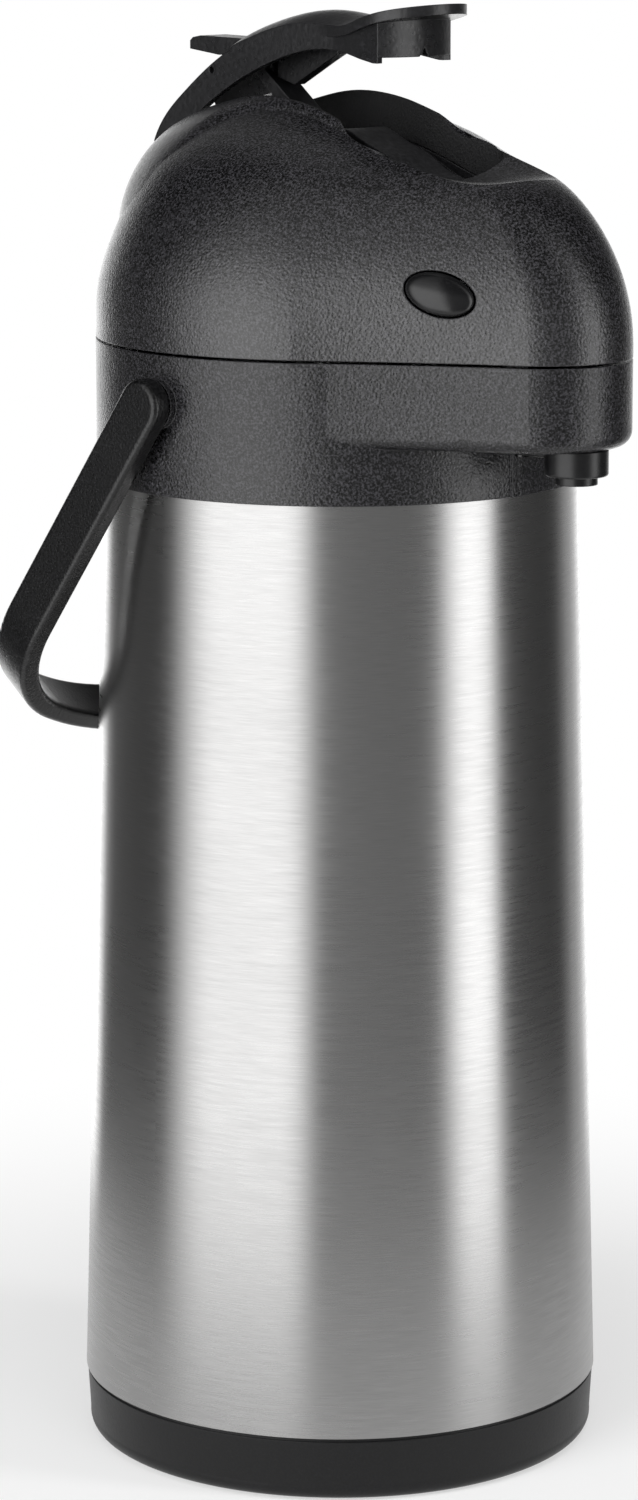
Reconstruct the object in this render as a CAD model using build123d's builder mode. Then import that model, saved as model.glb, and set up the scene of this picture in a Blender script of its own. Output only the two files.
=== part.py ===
"""A three litre lever airpot: steel vacuum flask, hinged pump lid, spout beak and carrying bail.

Millimetres. The origin is on the body axis at the plane the pot stands on. +Z is up and
the spout points along -Y. Sketches of the side view use forward distance (f) and height (z).
"""
from build123d import *
from math import atan2, cos, hypot, radians, sin, sqrt
import os

os.makedirs("parts", exist_ok=True)

# Driving dimensions of the body
BASE_HEIGHT = 19.5
SHELL_BOTTOM_RADIUS = 76.8
SHELL_TOP_RADIUS = 69.3
SHELL_HEIGHT = 270.0
SHELL_WALL = 0.6
COLLAR_RADIUS = 71.0
COLLAR_HEIGHT = 40.6
PLASTIC_WALL = 2.6
SEAM_GAP = 0.8
SHELL_TOP = BASE_HEIGHT + SHELL_HEIGHT
SEAM = SHELL_TOP + COLLAR_HEIGHT

# Base
RING_TOP_RADIUS = 76.4
RING_FOOT_RADIUS = 73.8
PAD_STANDOFF = 0.3
PAD_CIRCLE_RADIUS = 66.5
PAD_RADIUS = 4.2
PAD_COUNT = 6
CENTRE_PAD_RADIUS = 9.0
CENTRE_PAD_HEIGHT = 4.75
PLUG_RADIUS = 50.0
CUP_FLOOR = 6.0

# Vacuum flask
FLASK_OUTER_RADIUS = 66.5
FLASK_INNER_RADIUS = 63.0
FLASK_WALL = 0.6
NECK_INNER_RADIUS = 30.0
NECK_OUTER_RADIUS = 33.0
FLASK_BOTTOM = 24.0
FLASK_SHOULDER = 248.0
NECK_BASE = 284.0
MOUTH = 309.3

# Collar and spout
BEAK_HEIGHT = 24.8
DECK_TOP = 308.3
DECK_THICKNESS = 3.0
DECK_HOLE_RADIUS = 36.5
NOZZLE_FORWARD = 94.5
NOZZLE_BOSS_RADIUS = 9.0
NOZZLE_LIP_RADIUS = 6.0
NOZZLE_BOSS_DROP = 7.4
NOZZLE_LIP_DROP = 2.4
SPOUT_BORE_RADIUS = 3.4
SPOUT_TUBE_RADIUS = 4.6

# Bail handle
BAIL_PIVOT_HEIGHT = 315.5
BAIL_CORNER_DEPTH = 83.8
BAIL_BOW_DEPTH = 12.5
BAIL_REST_ANGLE = 37.2
BAIL_WIDTH = 15.0
BAIL_THICKNESS = 6.4
BAIL_HALF_SPAN = 76.2
BAIL_CORNER_RADIUS = 40.0
BAIL_BOSS_RADIUS = 7.0
BAIL_STUB_RADIUS = 5.0
BAIL_EDGE_RADIUS = 1.6
RUNNING_CLEARANCE = 0.05

# Head stations: height above the seam, centre of the round back, its radius,
# forward reach of the nose, nose radius, hollow of the cheek line
HEAD_STATIONS = [
    (0.0, 0.0, 71.0, 106.5, 25.0, 1.5),
    (12.0, 0.0, 70.6, 105.6, 25.0, 0.8),
    (22.0, 0.0, 68.5, 102.5, 24.5, 0.3),
    (33.0, 0.0, 64.1, 96.0, 23.5, 0.1),
    (41.0, -1.0, 59.5, 88.5, 22.5, 0.1),
    (48.2, -2.0, 54.0, 77.0, 22.0, 0.1),
    (53.0, -3.0, 48.6, 60.5, 22.0, 0.1),
    (57.0, -4.0, 42.6, 46.5, 21.0, 0.1),
    (61.0, -5.5, 34.5, 32.5, 18.0, 0.1),
    (64.0, -6.5, 27.0, 21.5, 15.0, 0.1),
    (66.0, -7.5, 18.6, 12.5, 11.0, 0.1),
]

# Hood stations round a centre in the side view: angle from forward, distance and half width
# of the slot's rim, distance and half width of the crease where the hood meets the head
HOOD_CENTRE = (-6.0, 10.0)
HOOD_STATIONS = [
    (36.0, 61.0, 22.4, 58.0, 23.0),
    (44.0, 64.9, 22.4, 62.2, 23.2),
    (52.0, 62.4, 21.7, 60.0, 22.6),
    (60.0, 60.5, 20.2, 58.1, 21.9),
    (68.0, 59.3, 19.5, 56.7, 21.7),
    (76.0, 58.8, 19.5, 55.8, 21.9),
    (84.0, 58.7, 19.5, 55.1, 22.6),
    (92.0, 59.0, 19.5, 54.5, 24.8),
    (99.0, 59.4, 19.5, 53.4, 28.6),
    (105.0, 59.8, 19.5, 50.6, 36.2),
    (111.0, 60.4, 19.5, 44.6, 45.8),
    (120.0, 62.2, 19.5, 41.2, 50.2),
    (130.0, 65.0, 19.5, 38.6, 52.3),
    (140.0, 67.6, 19.5, 35.0, 54.2),
    (149.0, 67.2, 19.5, 32.0, 55.0),
    (158.0, 64.2, 19.5, 29.0, 55.0),
    (166.0, 59.0, 19.5, 26.0, 54.0),
]
HOOD_BULGE = 3.0
HOOD_BULGE_SPAN = 45.0
HOOD_ROOT = 9.0
HOOD_ROOT_INSET = 4.0

# Lever well: slot in the head and the tray under it
SLOT_HALF_WIDTH = 19.5
SLOT_WIDE_HALF = 22.4
SLOT_FLARE_START = 13.0
SLOT_FRONT = 46.9
SLOT_CORNER = 5.5
SLOT_BACK = -75.0
SKIRT_DEPTH = 7.2
TRAY_WALL = 2.0
TRAY_FLOOR = 2.2
WELL_FLOOR_LINE = [
    (-84, 34),
    (-60, 35),
    (-46, 45),
    (-28, 54),
    (-5, 56),
    (10, 54.5),
    (26, 46.5),
    (46, 41),
    (62, 41),
]
# Finger dish in front of the slot: forward station, lift above the fitted surface
DISH_STATIONS = [
    (20, 7.5),
    (26, 2.0),
    (33, 0.1),
    (41, 0),
    (49, 0),
    (57, 0),
    (65, 0),
    (73, 0),
    (82, 0),
    (92, 0),
]
DISH_HALF = 30.0
# Ridge on the well's floor between two channels for the lever's flanges
RIDGE_HALF = 8.0
RIDGE_FOOT = 32.0
RIDGE_LINE = [(6.5, 57.0), (8.0, 59.3), (17.0, 57.2), (28.0, 52.9), (36.0, 48.6), (42.0, 46.8), (46.85, 46.3)]

# Lever
LEVER_PIVOT_FORWARD = -54.5
LEVER_PIVOT_ABOVE_SEAM = 50.0
LEVER_HALF_WIDTH = 12.5
LEVER_FLANGE = 2.4
LEVER_PLATE = 2.9
LEVER_CROWN = 3.3
LEVER_TIP_CENTRE = 28.6
LEVER_TIP_RADIUS = 16.0
LEVER_PIN_RADIUS = 2.0

# Pump
BELLOWS_RADIUS = 25.0
BELLOWS_ROOT_RADIUS = 20.0
BELLOWS_BOTTOM = SEAM + 7.0
BELLOWS_TOP = SEAM + 42.0
BELLOWS_FOLDS = 6
BELLOWS_WALL = 1.0

# Lid hinge
HINGE_BACK = 75.2
HINGE_HEIGHT = SEAM + 0.6
HINGE_KNUCKLE_RADIUS = 4.2
HINGE_PIN_RADIUS = 1.6

# Release buttons
BUTTON_FORWARD = 73.4
BUTTON_SIDE = 32.9
BUTTON_ABOVE_SEAM = 18.9
BUTTON_LONG_RADIUS = 9.9
BUTTON_SHORT_RADIUS = 5.7
BUTTON_GAP = 0.55
BUTTON_TILT = 15.0
BUTTON_LEAN = 13.0
BUTTON_FACING = 56.0

SIDE = Plane((0, 0, 0), x_dir=(0, -1, 0), z_dir=(-1, 0, 0))


def plan(height):
    """A level plane whose first axis points forward."""
    return Plane((0, 0, height), x_dir=(0, -1, 0), z_dir=(0, 0, 1))


def save(builder, name):
    """Label a finished piece and write it."""
    builder.part.label = name
    export_step(builder.part, f"parts/{name}.step")


def head_outline(station, inset=0.0):
    """Round back and nose joined by slightly hollow cheeks, drawn in the current line builder."""
    height, centre, radius, reach, nose_radius, hollow = station
    nose_centre = reach - nose_radius
    cosine = (radius - nose_radius) / (nose_centre - centre)
    sine = sqrt(1 - cosine**2)
    back = radius - inset
    nose = nose_radius - inset
    cheek = (centre + back * cosine, back * sine)
    temple = (nose_centre + nose * cosine, nose * sine)
    middle = ((cheek[0] + temple[0]) / 2 - hollow * cosine, (cheek[1] + temple[1]) / 2 - hollow * sine)
    side = radians(100)
    rear_side = (centre + back * cos(side), back * sin(side))
    ThreePointArc(rear_side, (centre - back, 0), (rear_side[0], -rear_side[1]))
    rear_mid = (centre + back * cos(side - 0.3), back * sin(side - 0.3))
    ThreePointArc((rear_side[0], -rear_side[1]), (rear_mid[0], -rear_mid[1]), (cheek[0], -cheek[1]))
    ThreePointArc((cheek[0], -cheek[1]), (middle[0], -middle[1]), (temple[0], -temple[1]))
    ThreePointArc((temple[0], -temple[1]), (nose_centre + nose, 0), temple)
    ThreePointArc(temple, middle, cheek)
    ThreePointArc(cheek, rear_mid, rear_side)


def head_solid(inset, lowest=0.0):
    """The head between its stations, drawn in by an even wall."""
    with BuildPart() as head:
        for station in HEAD_STATIONS:
            height = station[0] - inset if station[0] > 0 else lowest
            with BuildSketch(plan(SEAM + height)):
                with BuildLine():
                    head_outline(station, inset)
                make_face()
        loft()
    return head.part


def above_seam(points):
    """Side-view points given from the lid seam."""
    return [(forward, SEAM + height) for forward, height in points]


def side_region(points, above):
    """Everything above a smooth line of the side view, up to a height, as a closed outline."""
    first, last = points[0], points[-1]
    Spline(*points)
    Line(last, (last[0], above))
    Line((last[0], above), (first[0], above))
    Line((first[0], above), first)


def well_line(drop=0.0):
    """The floor of the lever well in the side view."""
    return [(forward, SEAM + height - drop) for forward, height in WELL_FLOOR_LINE]


def slot_outline(margin):
    """The lever slot in plan, grown by a margin: open at the back, wider towards its front end."""
    narrow = SLOT_HALF_WIDTH + margin
    wide = SLOT_WIDE_HALF + margin
    front = SLOT_FRONT + margin
    corner = SLOT_CORNER + margin
    toe = corner * (1 - cos(radians(45)))
    Line((SLOT_BACK, -narrow), (SLOT_BACK, narrow))
    Line((front, corner - wide), (front, wide - corner))
    for hand in (1, -1):
        Line((SLOT_BACK, hand * narrow), (SLOT_FLARE_START, hand * narrow))
        Spline(
            (SLOT_FLARE_START, hand * narrow),
            (front - corner, hand * wide),
            tangents=((1, 0), (1, 0)),
        )
        ThreePointArc(
            (front - corner, hand * wide),
            (front - toe, hand * (wide - toe)),
            (front, hand * (wide - corner)),
        )


def slot_prism(margin, bottom):
    """A tall prism of the slot's plan."""
    with BuildPart() as prism:
        with BuildSketch(plan(bottom)):
            with BuildLine():
                slot_outline(margin)
            make_face()
        extrude(amount=120)
    return prism.part


def well_solid(margin, drop):
    """The space of the lever well, from a line below its floor to above the head."""
    with BuildPart() as space:
        add(slot_prism(margin, SEAM))
        with BuildSketch(SIDE):
            with BuildLine():
                side_region(well_line(drop), SEAM + 110)
            make_face()
        extrude(amount=60, both=True, mode=Mode.INTERSECT)
    return space.part


def hood_solid():
    """The raised hood: sections that turn about a line across the head, from its front to its back."""
    centre_forward, centre_height = HOOD_CENTRE
    with BuildPart() as hood:
        for angle, rim, rim_half, crease, crease_half in HOOD_STATIONS:
            way = radians(angle)
            section = Plane(
                (0, -centre_forward, SEAM + centre_height),
                x_dir=(1, 0, 0),
                z_dir=(0, -sin(way), -cos(way)),
            )
            span = hypot(crease_half - rim_half, rim - crease)
            bulge = HOOD_BULGE * span / HOOD_BULGE_SPAN
            across = (rim - crease) / span * bulge
            outward = (crease_half - rim_half) / span * bulge
            middle = ((rim_half + crease_half) / 2 + across, (rim + crease) / 2 + outward)
            root = crease - HOOD_ROOT
            root_half = crease_half - HOOD_ROOT_INSET
            with BuildSketch(section):
                with BuildLine():
                    Line((-rim_half, rim), (rim_half, rim))
                    Line((-root_half, root), (root_half, root))
                    for hand in (1, -1):
                        ThreePointArc(
                            (hand * rim_half, rim), (hand * middle[0], middle[1]), (hand * crease_half, crease)
                        )
                        Line((hand * crease_half, crease), (hand * root_half, root))
                make_face()
        loft()
    return hood.part


def dish_solid(drop=0.0):
    """Everything above the saddle-shaped finger dish in front of the slot, or above a lowered one."""
    with BuildPart() as dish:
        for forward, lift in DISH_STATIONS:
            run = forward - 57.0
            middle = 46.96 + 0.0319 * run + 0.00237 * run**2 + lift - drop
            edge = middle + (0.00835 - 0.000601 * run) * DISH_HALF**2
            with BuildSketch(Plane((0, -forward, SEAM), x_dir=(1, 0, 0), z_dir=(0, -1, 0))):
                with BuildLine():
                    ThreePointArc((-DISH_HALF, edge), (0, middle), (DISH_HALF, edge))
                    Polyline((DISH_HALF, edge), (DISH_HALF, 110), (-DISH_HALF, 110), (-DISH_HALF, edge))
                make_face()
        loft()
    return dish.part


def lid_space(inset, under_dish, lowest):
    """The hollow of the lid: the head drawn in by a wall, kept under the dish."""
    with BuildPart() as space:
        add(head_solid(inset, lowest))
        add(dish_solid(under_dish), mode=Mode.SUBTRACT)
    return space.part


# Steel outer shell
with BuildPart() as outer_shell:
    with BuildSketch(Plane.XZ):
        with BuildLine():
            Polyline(
                (SHELL_BOTTOM_RADIUS, BASE_HEIGHT),
                (SHELL_TOP_RADIUS, SHELL_TOP),
                (SHELL_TOP_RADIUS, SHELL_TOP + 5.0),
                (SHELL_TOP_RADIUS - SHELL_WALL, SHELL_TOP + 5.0),
                (SHELL_TOP_RADIUS - SHELL_WALL, SHELL_TOP),
                (SHELL_BOTTOM_RADIUS - SHELL_WALL, BASE_HEIGHT),
                close=True,
            )
        make_face()
    revolve(axis=Axis.Z)
save(outer_shell, "outer_shell")

# Black base cup: rim under the shell, spigot inside it, floor with the plug's hole
RIM_GROOVE = 1.1
with BuildPart() as base_cup:
    with BuildSketch(Plane.XZ):
        with BuildLine():
            Polyline(
                (PLUG_RADIUS + 0.3, CUP_FLOOR),
                (60.0, CUP_FLOOR),
                (61.5, PAD_STANDOFF),
                (RING_FOOT_RADIUS - 2.6, PAD_STANDOFF),
            )
            ThreePointArc(
                (RING_FOOT_RADIUS - 2.6, PAD_STANDOFF),
                (RING_FOOT_RADIUS + 0.7, PAD_STANDOFF + 1.0),
                (RING_FOOT_RADIUS + 1.8, PAD_STANDOFF + 4.4),
            )
            Polyline(
                (RING_FOOT_RADIUS + 1.8, PAD_STANDOFF + 4.4),
                (RING_TOP_RADIUS, BASE_HEIGHT - RIM_GROOVE),
                (RING_TOP_RADIUS - 0.4, BASE_HEIGHT - RIM_GROOVE),
                (RING_TOP_RADIUS - 0.6, BASE_HEIGHT + 8.0),
                (RING_TOP_RADIUS - 2.6, BASE_HEIGHT + 8.0),
                (RING_FOOT_RADIUS - 1.0, CUP_FLOOR + 2.5),
                (PLUG_RADIUS + 0.3, CUP_FLOOR + 2.5),
                (PLUG_RADIUS + 0.3, CUP_FLOOR),
            )
        make_face()
    revolve(axis=Axis.Z)
    with PolarLocations(PAD_CIRCLE_RADIUS, PAD_COUNT):
        Cylinder(PAD_RADIUS, 2.0, align=(Align.CENTER, Align.CENTER, Align.MIN), mode=Mode.SUBTRACT)
save(base_cup, "base_cup")

# Rubber feet pressed into the base cup
with BuildPart() as foot_pads:
    with PolarLocations(PAD_CIRCLE_RADIUS, PAD_COUNT):
        Cylinder(PAD_RADIUS - 0.1, 2.0, align=(Align.CENTER, Align.CENTER, Align.MIN))
    Cylinder(CENTRE_PAD_RADIUS, CENTRE_PAD_HEIGHT, align=(Align.CENTER, Align.CENTER, Align.MIN))
save(foot_pads, "foot_pads")

# Threaded plug that closes the base and carries the flask on a rubber cushion
with BuildPart() as base_plug:
    with BuildSketch(Plane.XY.offset(CUP_FLOOR - 2.0)):
        Circle(PLUG_RADIUS + 4.0)
    extrude(amount=1.8)
    with BuildSketch(Plane.XY.offset(CUP_FLOOR - 0.2)):
        Circle(PLUG_RADIUS)
    extrude(amount=5.2)
    with BuildSketch(Plane.XY.offset(CUP_FLOOR + 1.0)):
        Circle(PLUG_RADIUS - 3.0)
    extrude(amount=4.0, mode=Mode.SUBTRACT)
    with BuildSketch(Plane.XY.offset(CUP_FLOOR - 2.0)):
        with PolarLocations(30.0, 2):
            SlotOverall(16.0, 6.0)
    extrude(amount=1.2, mode=Mode.SUBTRACT)
    # Seat of the middle foot
    with BuildSketch(Plane.XY.offset(CUP_FLOOR - 2.0)):
        Circle(CENTRE_PAD_RADIUS + 0.1)
    extrude(amount=CENTRE_PAD_HEIGHT + 2.05 - CUP_FLOOR, mode=Mode.SUBTRACT)
save(base_plug, "base_plug")

CUSHION_BOTTOM = CUP_FLOOR + 1.0
with BuildPart() as flask_cushion:
    with BuildSketch(Plane.XY.offset(CUSHION_BOTTOM)):
        Circle(PLUG_RADIUS - 4.0)
        Circle(28.0, mode=Mode.SUBTRACT)
    extrude(amount=FLASK_BOTTOM - CUSHION_BOTTOM)
    with BuildSketch(Plane.XY.offset(CUSHION_BOTTOM)):
        with PolarLocations(PLUG_RADIUS - 4.0, 12):
            Circle(2.2)
    extrude(amount=FLASK_BOTTOM - CUSHION_BOTTOM, mode=Mode.SUBTRACT)
save(flask_cushion, "flask_cushion")


def flask_profile(radius, bottom, shoulder, neck_radius, neck_base, top, wall):
    """A thin bottle wall as a closed outline, drawn in the current line builder."""
    corner = 14.0
    outer = [(0, bottom), (radius - corner, bottom)]
    Line(*outer)
    knuckle = corner * (1 - cos(radians(45)))
    ThreePointArc(outer[1], (radius - knuckle, bottom + knuckle), (radius, bottom + corner))
    Line((radius, bottom + corner), (radius, shoulder))
    Spline(
        (radius, shoulder),
        (neck_radius, neck_base),
        tangents=((0, 1), (0, 1)),
        tangent_scalars=(1.4, 1.4),
    )
    Line((neck_radius, neck_base), (neck_radius, top))
    Line((neck_radius, top), (neck_radius - wall, top))
    Line((neck_radius - wall, top), (neck_radius - wall, neck_base))
    inside = radius - wall
    Spline(
        (neck_radius - wall, neck_base), (inside, shoulder), tangents=((0, -1), (0, -1)), tangent_scalars=(1.4, 1.4)
    )
    Line((inside, shoulder), (inside, bottom + corner))
    ThreePointArc(
        (inside, bottom + corner), (inside - knuckle, bottom + wall + knuckle), (inside - corner + wall, bottom + wall)
    )
    Line((inside - corner + wall, bottom + wall), (0, bottom + wall))
    Line((0, bottom + wall), (0, bottom))


with BuildPart() as flask_outer_wall:
    with BuildSketch(Plane.XZ):
        with BuildLine():
            flask_profile(
                FLASK_OUTER_RADIUS,
                FLASK_BOTTOM,
                FLASK_SHOULDER,
                NECK_OUTER_RADIUS,
                NECK_BASE,
                MOUTH - 0.6,
                FLASK_WALL,
            )
        make_face()
    revolve(axis=Axis.Z)
save(flask_outer_wall, "flask_outer_wall")

# The inner wall: a deep-drawn bottom, a straight liner, and a shoulder with the neck and its lip
LINER_BOTTOM = FLASK_BOTTOM + 6.0
LINER_CORNER = 14.0
LINER_FOOT = LINER_BOTTOM + LINER_CORNER
LINER_TOP = FLASK_SHOULDER - 4.0
LINER_INSIDE = FLASK_INNER_RADIUS - FLASK_WALL
with BuildPart() as flask_bottom:
    with BuildSketch(Plane.XZ):
        with BuildLine():
            knuckle = LINER_CORNER * (1 - cos(radians(45)))
            Line((0, LINER_BOTTOM), (FLASK_INNER_RADIUS - LINER_CORNER, LINER_BOTTOM))
            ThreePointArc(
                (FLASK_INNER_RADIUS - LINER_CORNER, LINER_BOTTOM),
                (FLASK_INNER_RADIUS - knuckle, LINER_BOTTOM + knuckle),
                (FLASK_INNER_RADIUS, LINER_FOOT),
            )
            Line((FLASK_INNER_RADIUS, LINER_FOOT), (LINER_INSIDE, LINER_FOOT))
            ThreePointArc(
                (LINER_INSIDE, LINER_FOOT),
                (LINER_INSIDE - knuckle, LINER_BOTTOM + FLASK_WALL + knuckle),
                (LINER_INSIDE - LINER_CORNER + FLASK_WALL, LINER_BOTTOM + FLASK_WALL),
            )
            Line((LINER_INSIDE - LINER_CORNER + FLASK_WALL, LINER_BOTTOM + FLASK_WALL), (0, LINER_BOTTOM + FLASK_WALL))
            Line((0, LINER_BOTTOM + FLASK_WALL), (0, LINER_BOTTOM))
        make_face()
    revolve(axis=Axis.Z)
save(flask_bottom, "flask_bottom")

with BuildPart() as flask_liner:
    with BuildSketch(plan(LINER_FOOT)):
        Circle(FLASK_INNER_RADIUS)
        Circle(LINER_INSIDE, mode=Mode.SUBTRACT)
    extrude(amount=LINER_TOP - LINER_FOOT)
save(flask_liner, "flask_liner")

with BuildPart() as flask_neck:
    with BuildSketch(Plane.XZ):
        with BuildLine():
            outside_neck = NECK_INNER_RADIUS + FLASK_WALL
            Spline(
                (FLASK_INNER_RADIUS, LINER_TOP),
                (outside_neck, NECK_BASE - 3.0),
                tangents=((0, 1), (0, 1)),
                tangent_scalars=(1.4, 1.4),
            )
            Polyline(
                (outside_neck, NECK_BASE - 3.0),
                (outside_neck, MOUTH - FLASK_WALL),
                (NECK_OUTER_RADIUS, MOUTH - FLASK_WALL),
                (NECK_OUTER_RADIUS, MOUTH),
                (NECK_INNER_RADIUS, MOUTH),
                (NECK_INNER_RADIUS, NECK_BASE - 3.0),
            )
            Spline(
                (NECK_INNER_RADIUS, NECK_BASE - 3.0),
                (LINER_INSIDE, LINER_TOP),
                tangents=((0, -1), (0, -1)),
                tangent_scalars=(1.4, 1.4),
            )
            Line((LINER_INSIDE, LINER_TOP), (FLASK_INNER_RADIUS, LINER_TOP))
        make_face()
    revolve(axis=Axis.Z)
save(flask_neck, "flask_neck")

# Rubber sleeve between the flask's neck and the collar's deck
with BuildPart() as neck_sleeve:
    with BuildSketch(Plane.XZ):
        with BuildLine():
            Polyline(
                (NECK_OUTER_RADIUS + 0.1, MOUTH - 9.0),
                (DECK_HOLE_RADIUS - 0.1, MOUTH - 9.0),
                (DECK_HOLE_RADIUS - 0.1, DECK_TOP + 0.1),
                (DECK_HOLE_RADIUS + 2.5, DECK_TOP + 0.1),
                (DECK_HOLE_RADIUS + 2.5, DECK_TOP + 1.4),
                (NECK_OUTER_RADIUS + 0.1, DECK_TOP + 1.4),
                close=True,
            )
        make_face()
    revolve(axis=Axis.Z)
save(neck_sleeve, "neck_sleeve")

# Collar: skirt over the shell, deck round the neck, beak trough, pivot bosses and hinge lugs
COLLAR_TOP = SEAM - SEAM_GAP
BEAK_BOTTOM = SEAM - BEAK_HEIGHT
BEAK_FILLET = 4.5
HINGE_LUG_INNER = 9.0
HINGE_LUG_OUTER = 17.0
seam_station = HEAD_STATIONS[0]
with BuildPart() as collar:
    with BuildSketch(plan(BEAK_BOTTOM)):
        with BuildLine():
            head_outline(seam_station)
        make_face()
    extrude(amount=COLLAR_TOP - BEAK_BOTTOM)
    fillet(collar.faces().sort_by(Axis.Z)[0].edges(), BEAK_FILLET)
    with BuildSketch(Plane.XY.offset(SHELL_TOP)):
        Circle(COLLAR_RADIUS)
    extrude(amount=COLLAR_TOP - SHELL_TOP - 1.0)
    with BuildSketch(plan(DECK_TOP)):
        with BuildLine():
            head_outline(seam_station, PLASTIC_WALL)
        make_face()
    extrude(amount=40, mode=Mode.SUBTRACT)
    with BuildSketch(Plane.XY.offset(SHELL_TOP)):
        Circle(SHELL_TOP_RADIUS + 0.1)
    extrude(amount=5.1, mode=Mode.SUBTRACT)
    with BuildSketch(Plane.XY.offset(SHELL_TOP)):
        Circle(COLLAR_RADIUS - PLASTIC_WALL)
    extrude(amount=DECK_TOP - DECK_THICKNESS - SHELL_TOP, mode=Mode.SUBTRACT)
    with BuildSketch(Plane.XY.offset(SHELL_TOP)):
        Circle(DECK_HOLE_RADIUS)
    extrude(amount=40, mode=Mode.SUBTRACT)
    # Front rib under the beak
    with BuildSketch(plan(SHELL_TOP)):
        with Locations((COLLAR_RADIUS, 0)):
            Rectangle(1.6, 4.0)
    extrude(amount=BEAK_BOTTOM - SHELL_TOP)
    # Bail bosses with their bores
    for side in (-1, 1):
        with BuildSketch(Plane((side * (COLLAR_RADIUS - 1.5), 0, BAIL_PIVOT_HEIGHT), z_dir=(side, 0, 0))):
            Circle(BAIL_BOSS_RADIUS)
        extrude(amount=BAIL_HALF_SPAN - BAIL_THICKNESS / 2 - 0.3 - COLLAR_RADIUS + 1.5)
        with BuildSketch(Plane((side * (COLLAR_RADIUS - 6.0), 0, BAIL_PIVOT_HEIGHT), z_dir=(side, 0, 0))):
            Circle(BAIL_STUB_RADIUS + RUNNING_CLEARANCE)
        extrude(amount=20, mode=Mode.SUBTRACT)
    # Hinge lugs at the back
    for side in (-1, 1):
        lug_plane = Plane((side * HINGE_LUG_INNER, 0, 0), x_dir=(0, 1, 0), z_dir=(1, 0, 0))
        with BuildSketch(lug_plane):
            with Locations((HINGE_BACK, HINGE_HEIGHT)):
                Circle(HINGE_KNUCKLE_RADIUS)
            with BuildLine():
                Polyline(
                    (HINGE_BACK + HINGE_KNUCKLE_RADIUS, HINGE_HEIGHT),
                    (HINGE_BACK + HINGE_KNUCKLE_RADIUS, HINGE_HEIGHT - 3.0),
                    (COLLAR_RADIUS - 1.0, HINGE_HEIGHT - 14.0),
                    (COLLAR_RADIUS - 1.0, COLLAR_TOP),
                    (HINGE_BACK - HINGE_KNUCKLE_RADIUS, COLLAR_TOP),
                    (HINGE_BACK, HINGE_HEIGHT),
                    close=True,
                )
            make_face()
        extrude(amount=side * (HINGE_LUG_OUTER - HINGE_LUG_INNER))
    with BuildSketch(Plane((-25, HINGE_BACK, HINGE_HEIGHT), z_dir=(1, 0, 0))):
        Circle(HINGE_PIN_RADIUS)
    extrude(amount=50, mode=Mode.SUBTRACT)
    # Hole for the nozzle in the beak's floor
    with BuildSketch(plan(BEAK_BOTTOM - 1)):
        with Locations((NOZZLE_FORWARD, 0)):
            Circle(NOZZLE_LIP_RADIUS + 0.1)
    extrude(amount=8, mode=Mode.SUBTRACT)
save(collar, "collar")

# Channel piece under the beak that carries the round nozzle boss
CHANNEL_DEPTH = 2.6
BOSS_BOTTOM = BEAK_BOTTOM - NOZZLE_BOSS_DROP
with BuildPart() as nozzle_housing:
    with BuildSketch(plan(BEAK_BOTTOM - CHANNEL_DEPTH)):
        with Locations((82.0, 0)):
            Rectangle(19.0, 15.0)
    extrude(amount=CHANNEL_DEPTH - 0.05)
    fillet(nozzle_housing.faces().sort_by(Axis.Z)[0].edges().filter_by(Axis.Y), 1.2)
    with BuildSketch(plan(BOSS_BOTTOM)):
        with Locations((NOZZLE_FORWARD, 0)):
            Circle(NOZZLE_BOSS_RADIUS)
    extrude(amount=NOZZLE_BOSS_DROP - 0.05)
    fillet(nozzle_housing.faces().sort_by(Axis.Z)[0].edges(), 0.8)
    with BuildSketch(plan(BOSS_BOTTOM - 1)):
        with Locations((NOZZLE_FORWARD, 0)):
            Circle(NOZZLE_LIP_RADIUS + 0.1)
    extrude(amount=12, mode=Mode.SUBTRACT)
    with BuildSketch(plan(BEAK_BOTTOM - CHANNEL_DEPTH)):
        with Locations((78.0, 4.5), (78.0, -4.5)):
            Circle(2.05)
    extrude(amount=0.4, mode=Mode.SUBTRACT)
save(nozzle_housing, "nozzle_housing")

TUBE_HEIGHT = 316.5
with BuildPart() as nozzle_tip:
    with BuildSketch(plan(BOSS_BOTTOM - NOZZLE_LIP_DROP)):
        with Locations((NOZZLE_FORWARD, 0)):
            Circle(NOZZLE_LIP_RADIUS)
    extrude(amount=DECK_TOP + 0.1 - BOSS_BOTTOM + NOZZLE_LIP_DROP)
    with BuildSketch(plan(DECK_TOP + 0.1)):
        with Locations((NOZZLE_FORWARD, 0)):
            Circle(NOZZLE_LIP_RADIUS + 2.0)
    extrude(amount=1.6)
    with BuildSketch(plan(BOSS_BOTTOM - NOZZLE_LIP_DROP)):
        with Locations((NOZZLE_FORWARD, 0)):
            Circle(SPOUT_BORE_RADIUS)
    extrude(amount=20, mode=Mode.SUBTRACT)
    with BuildSketch(plan(DECK_TOP - 3.0)):
        with Locations((NOZZLE_FORWARD, 0)):
            Circle(SPOUT_TUBE_RADIUS + 0.05)
    extrude(amount=20, mode=Mode.SUBTRACT)
save(nozzle_tip, "nozzle_tip")

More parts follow.
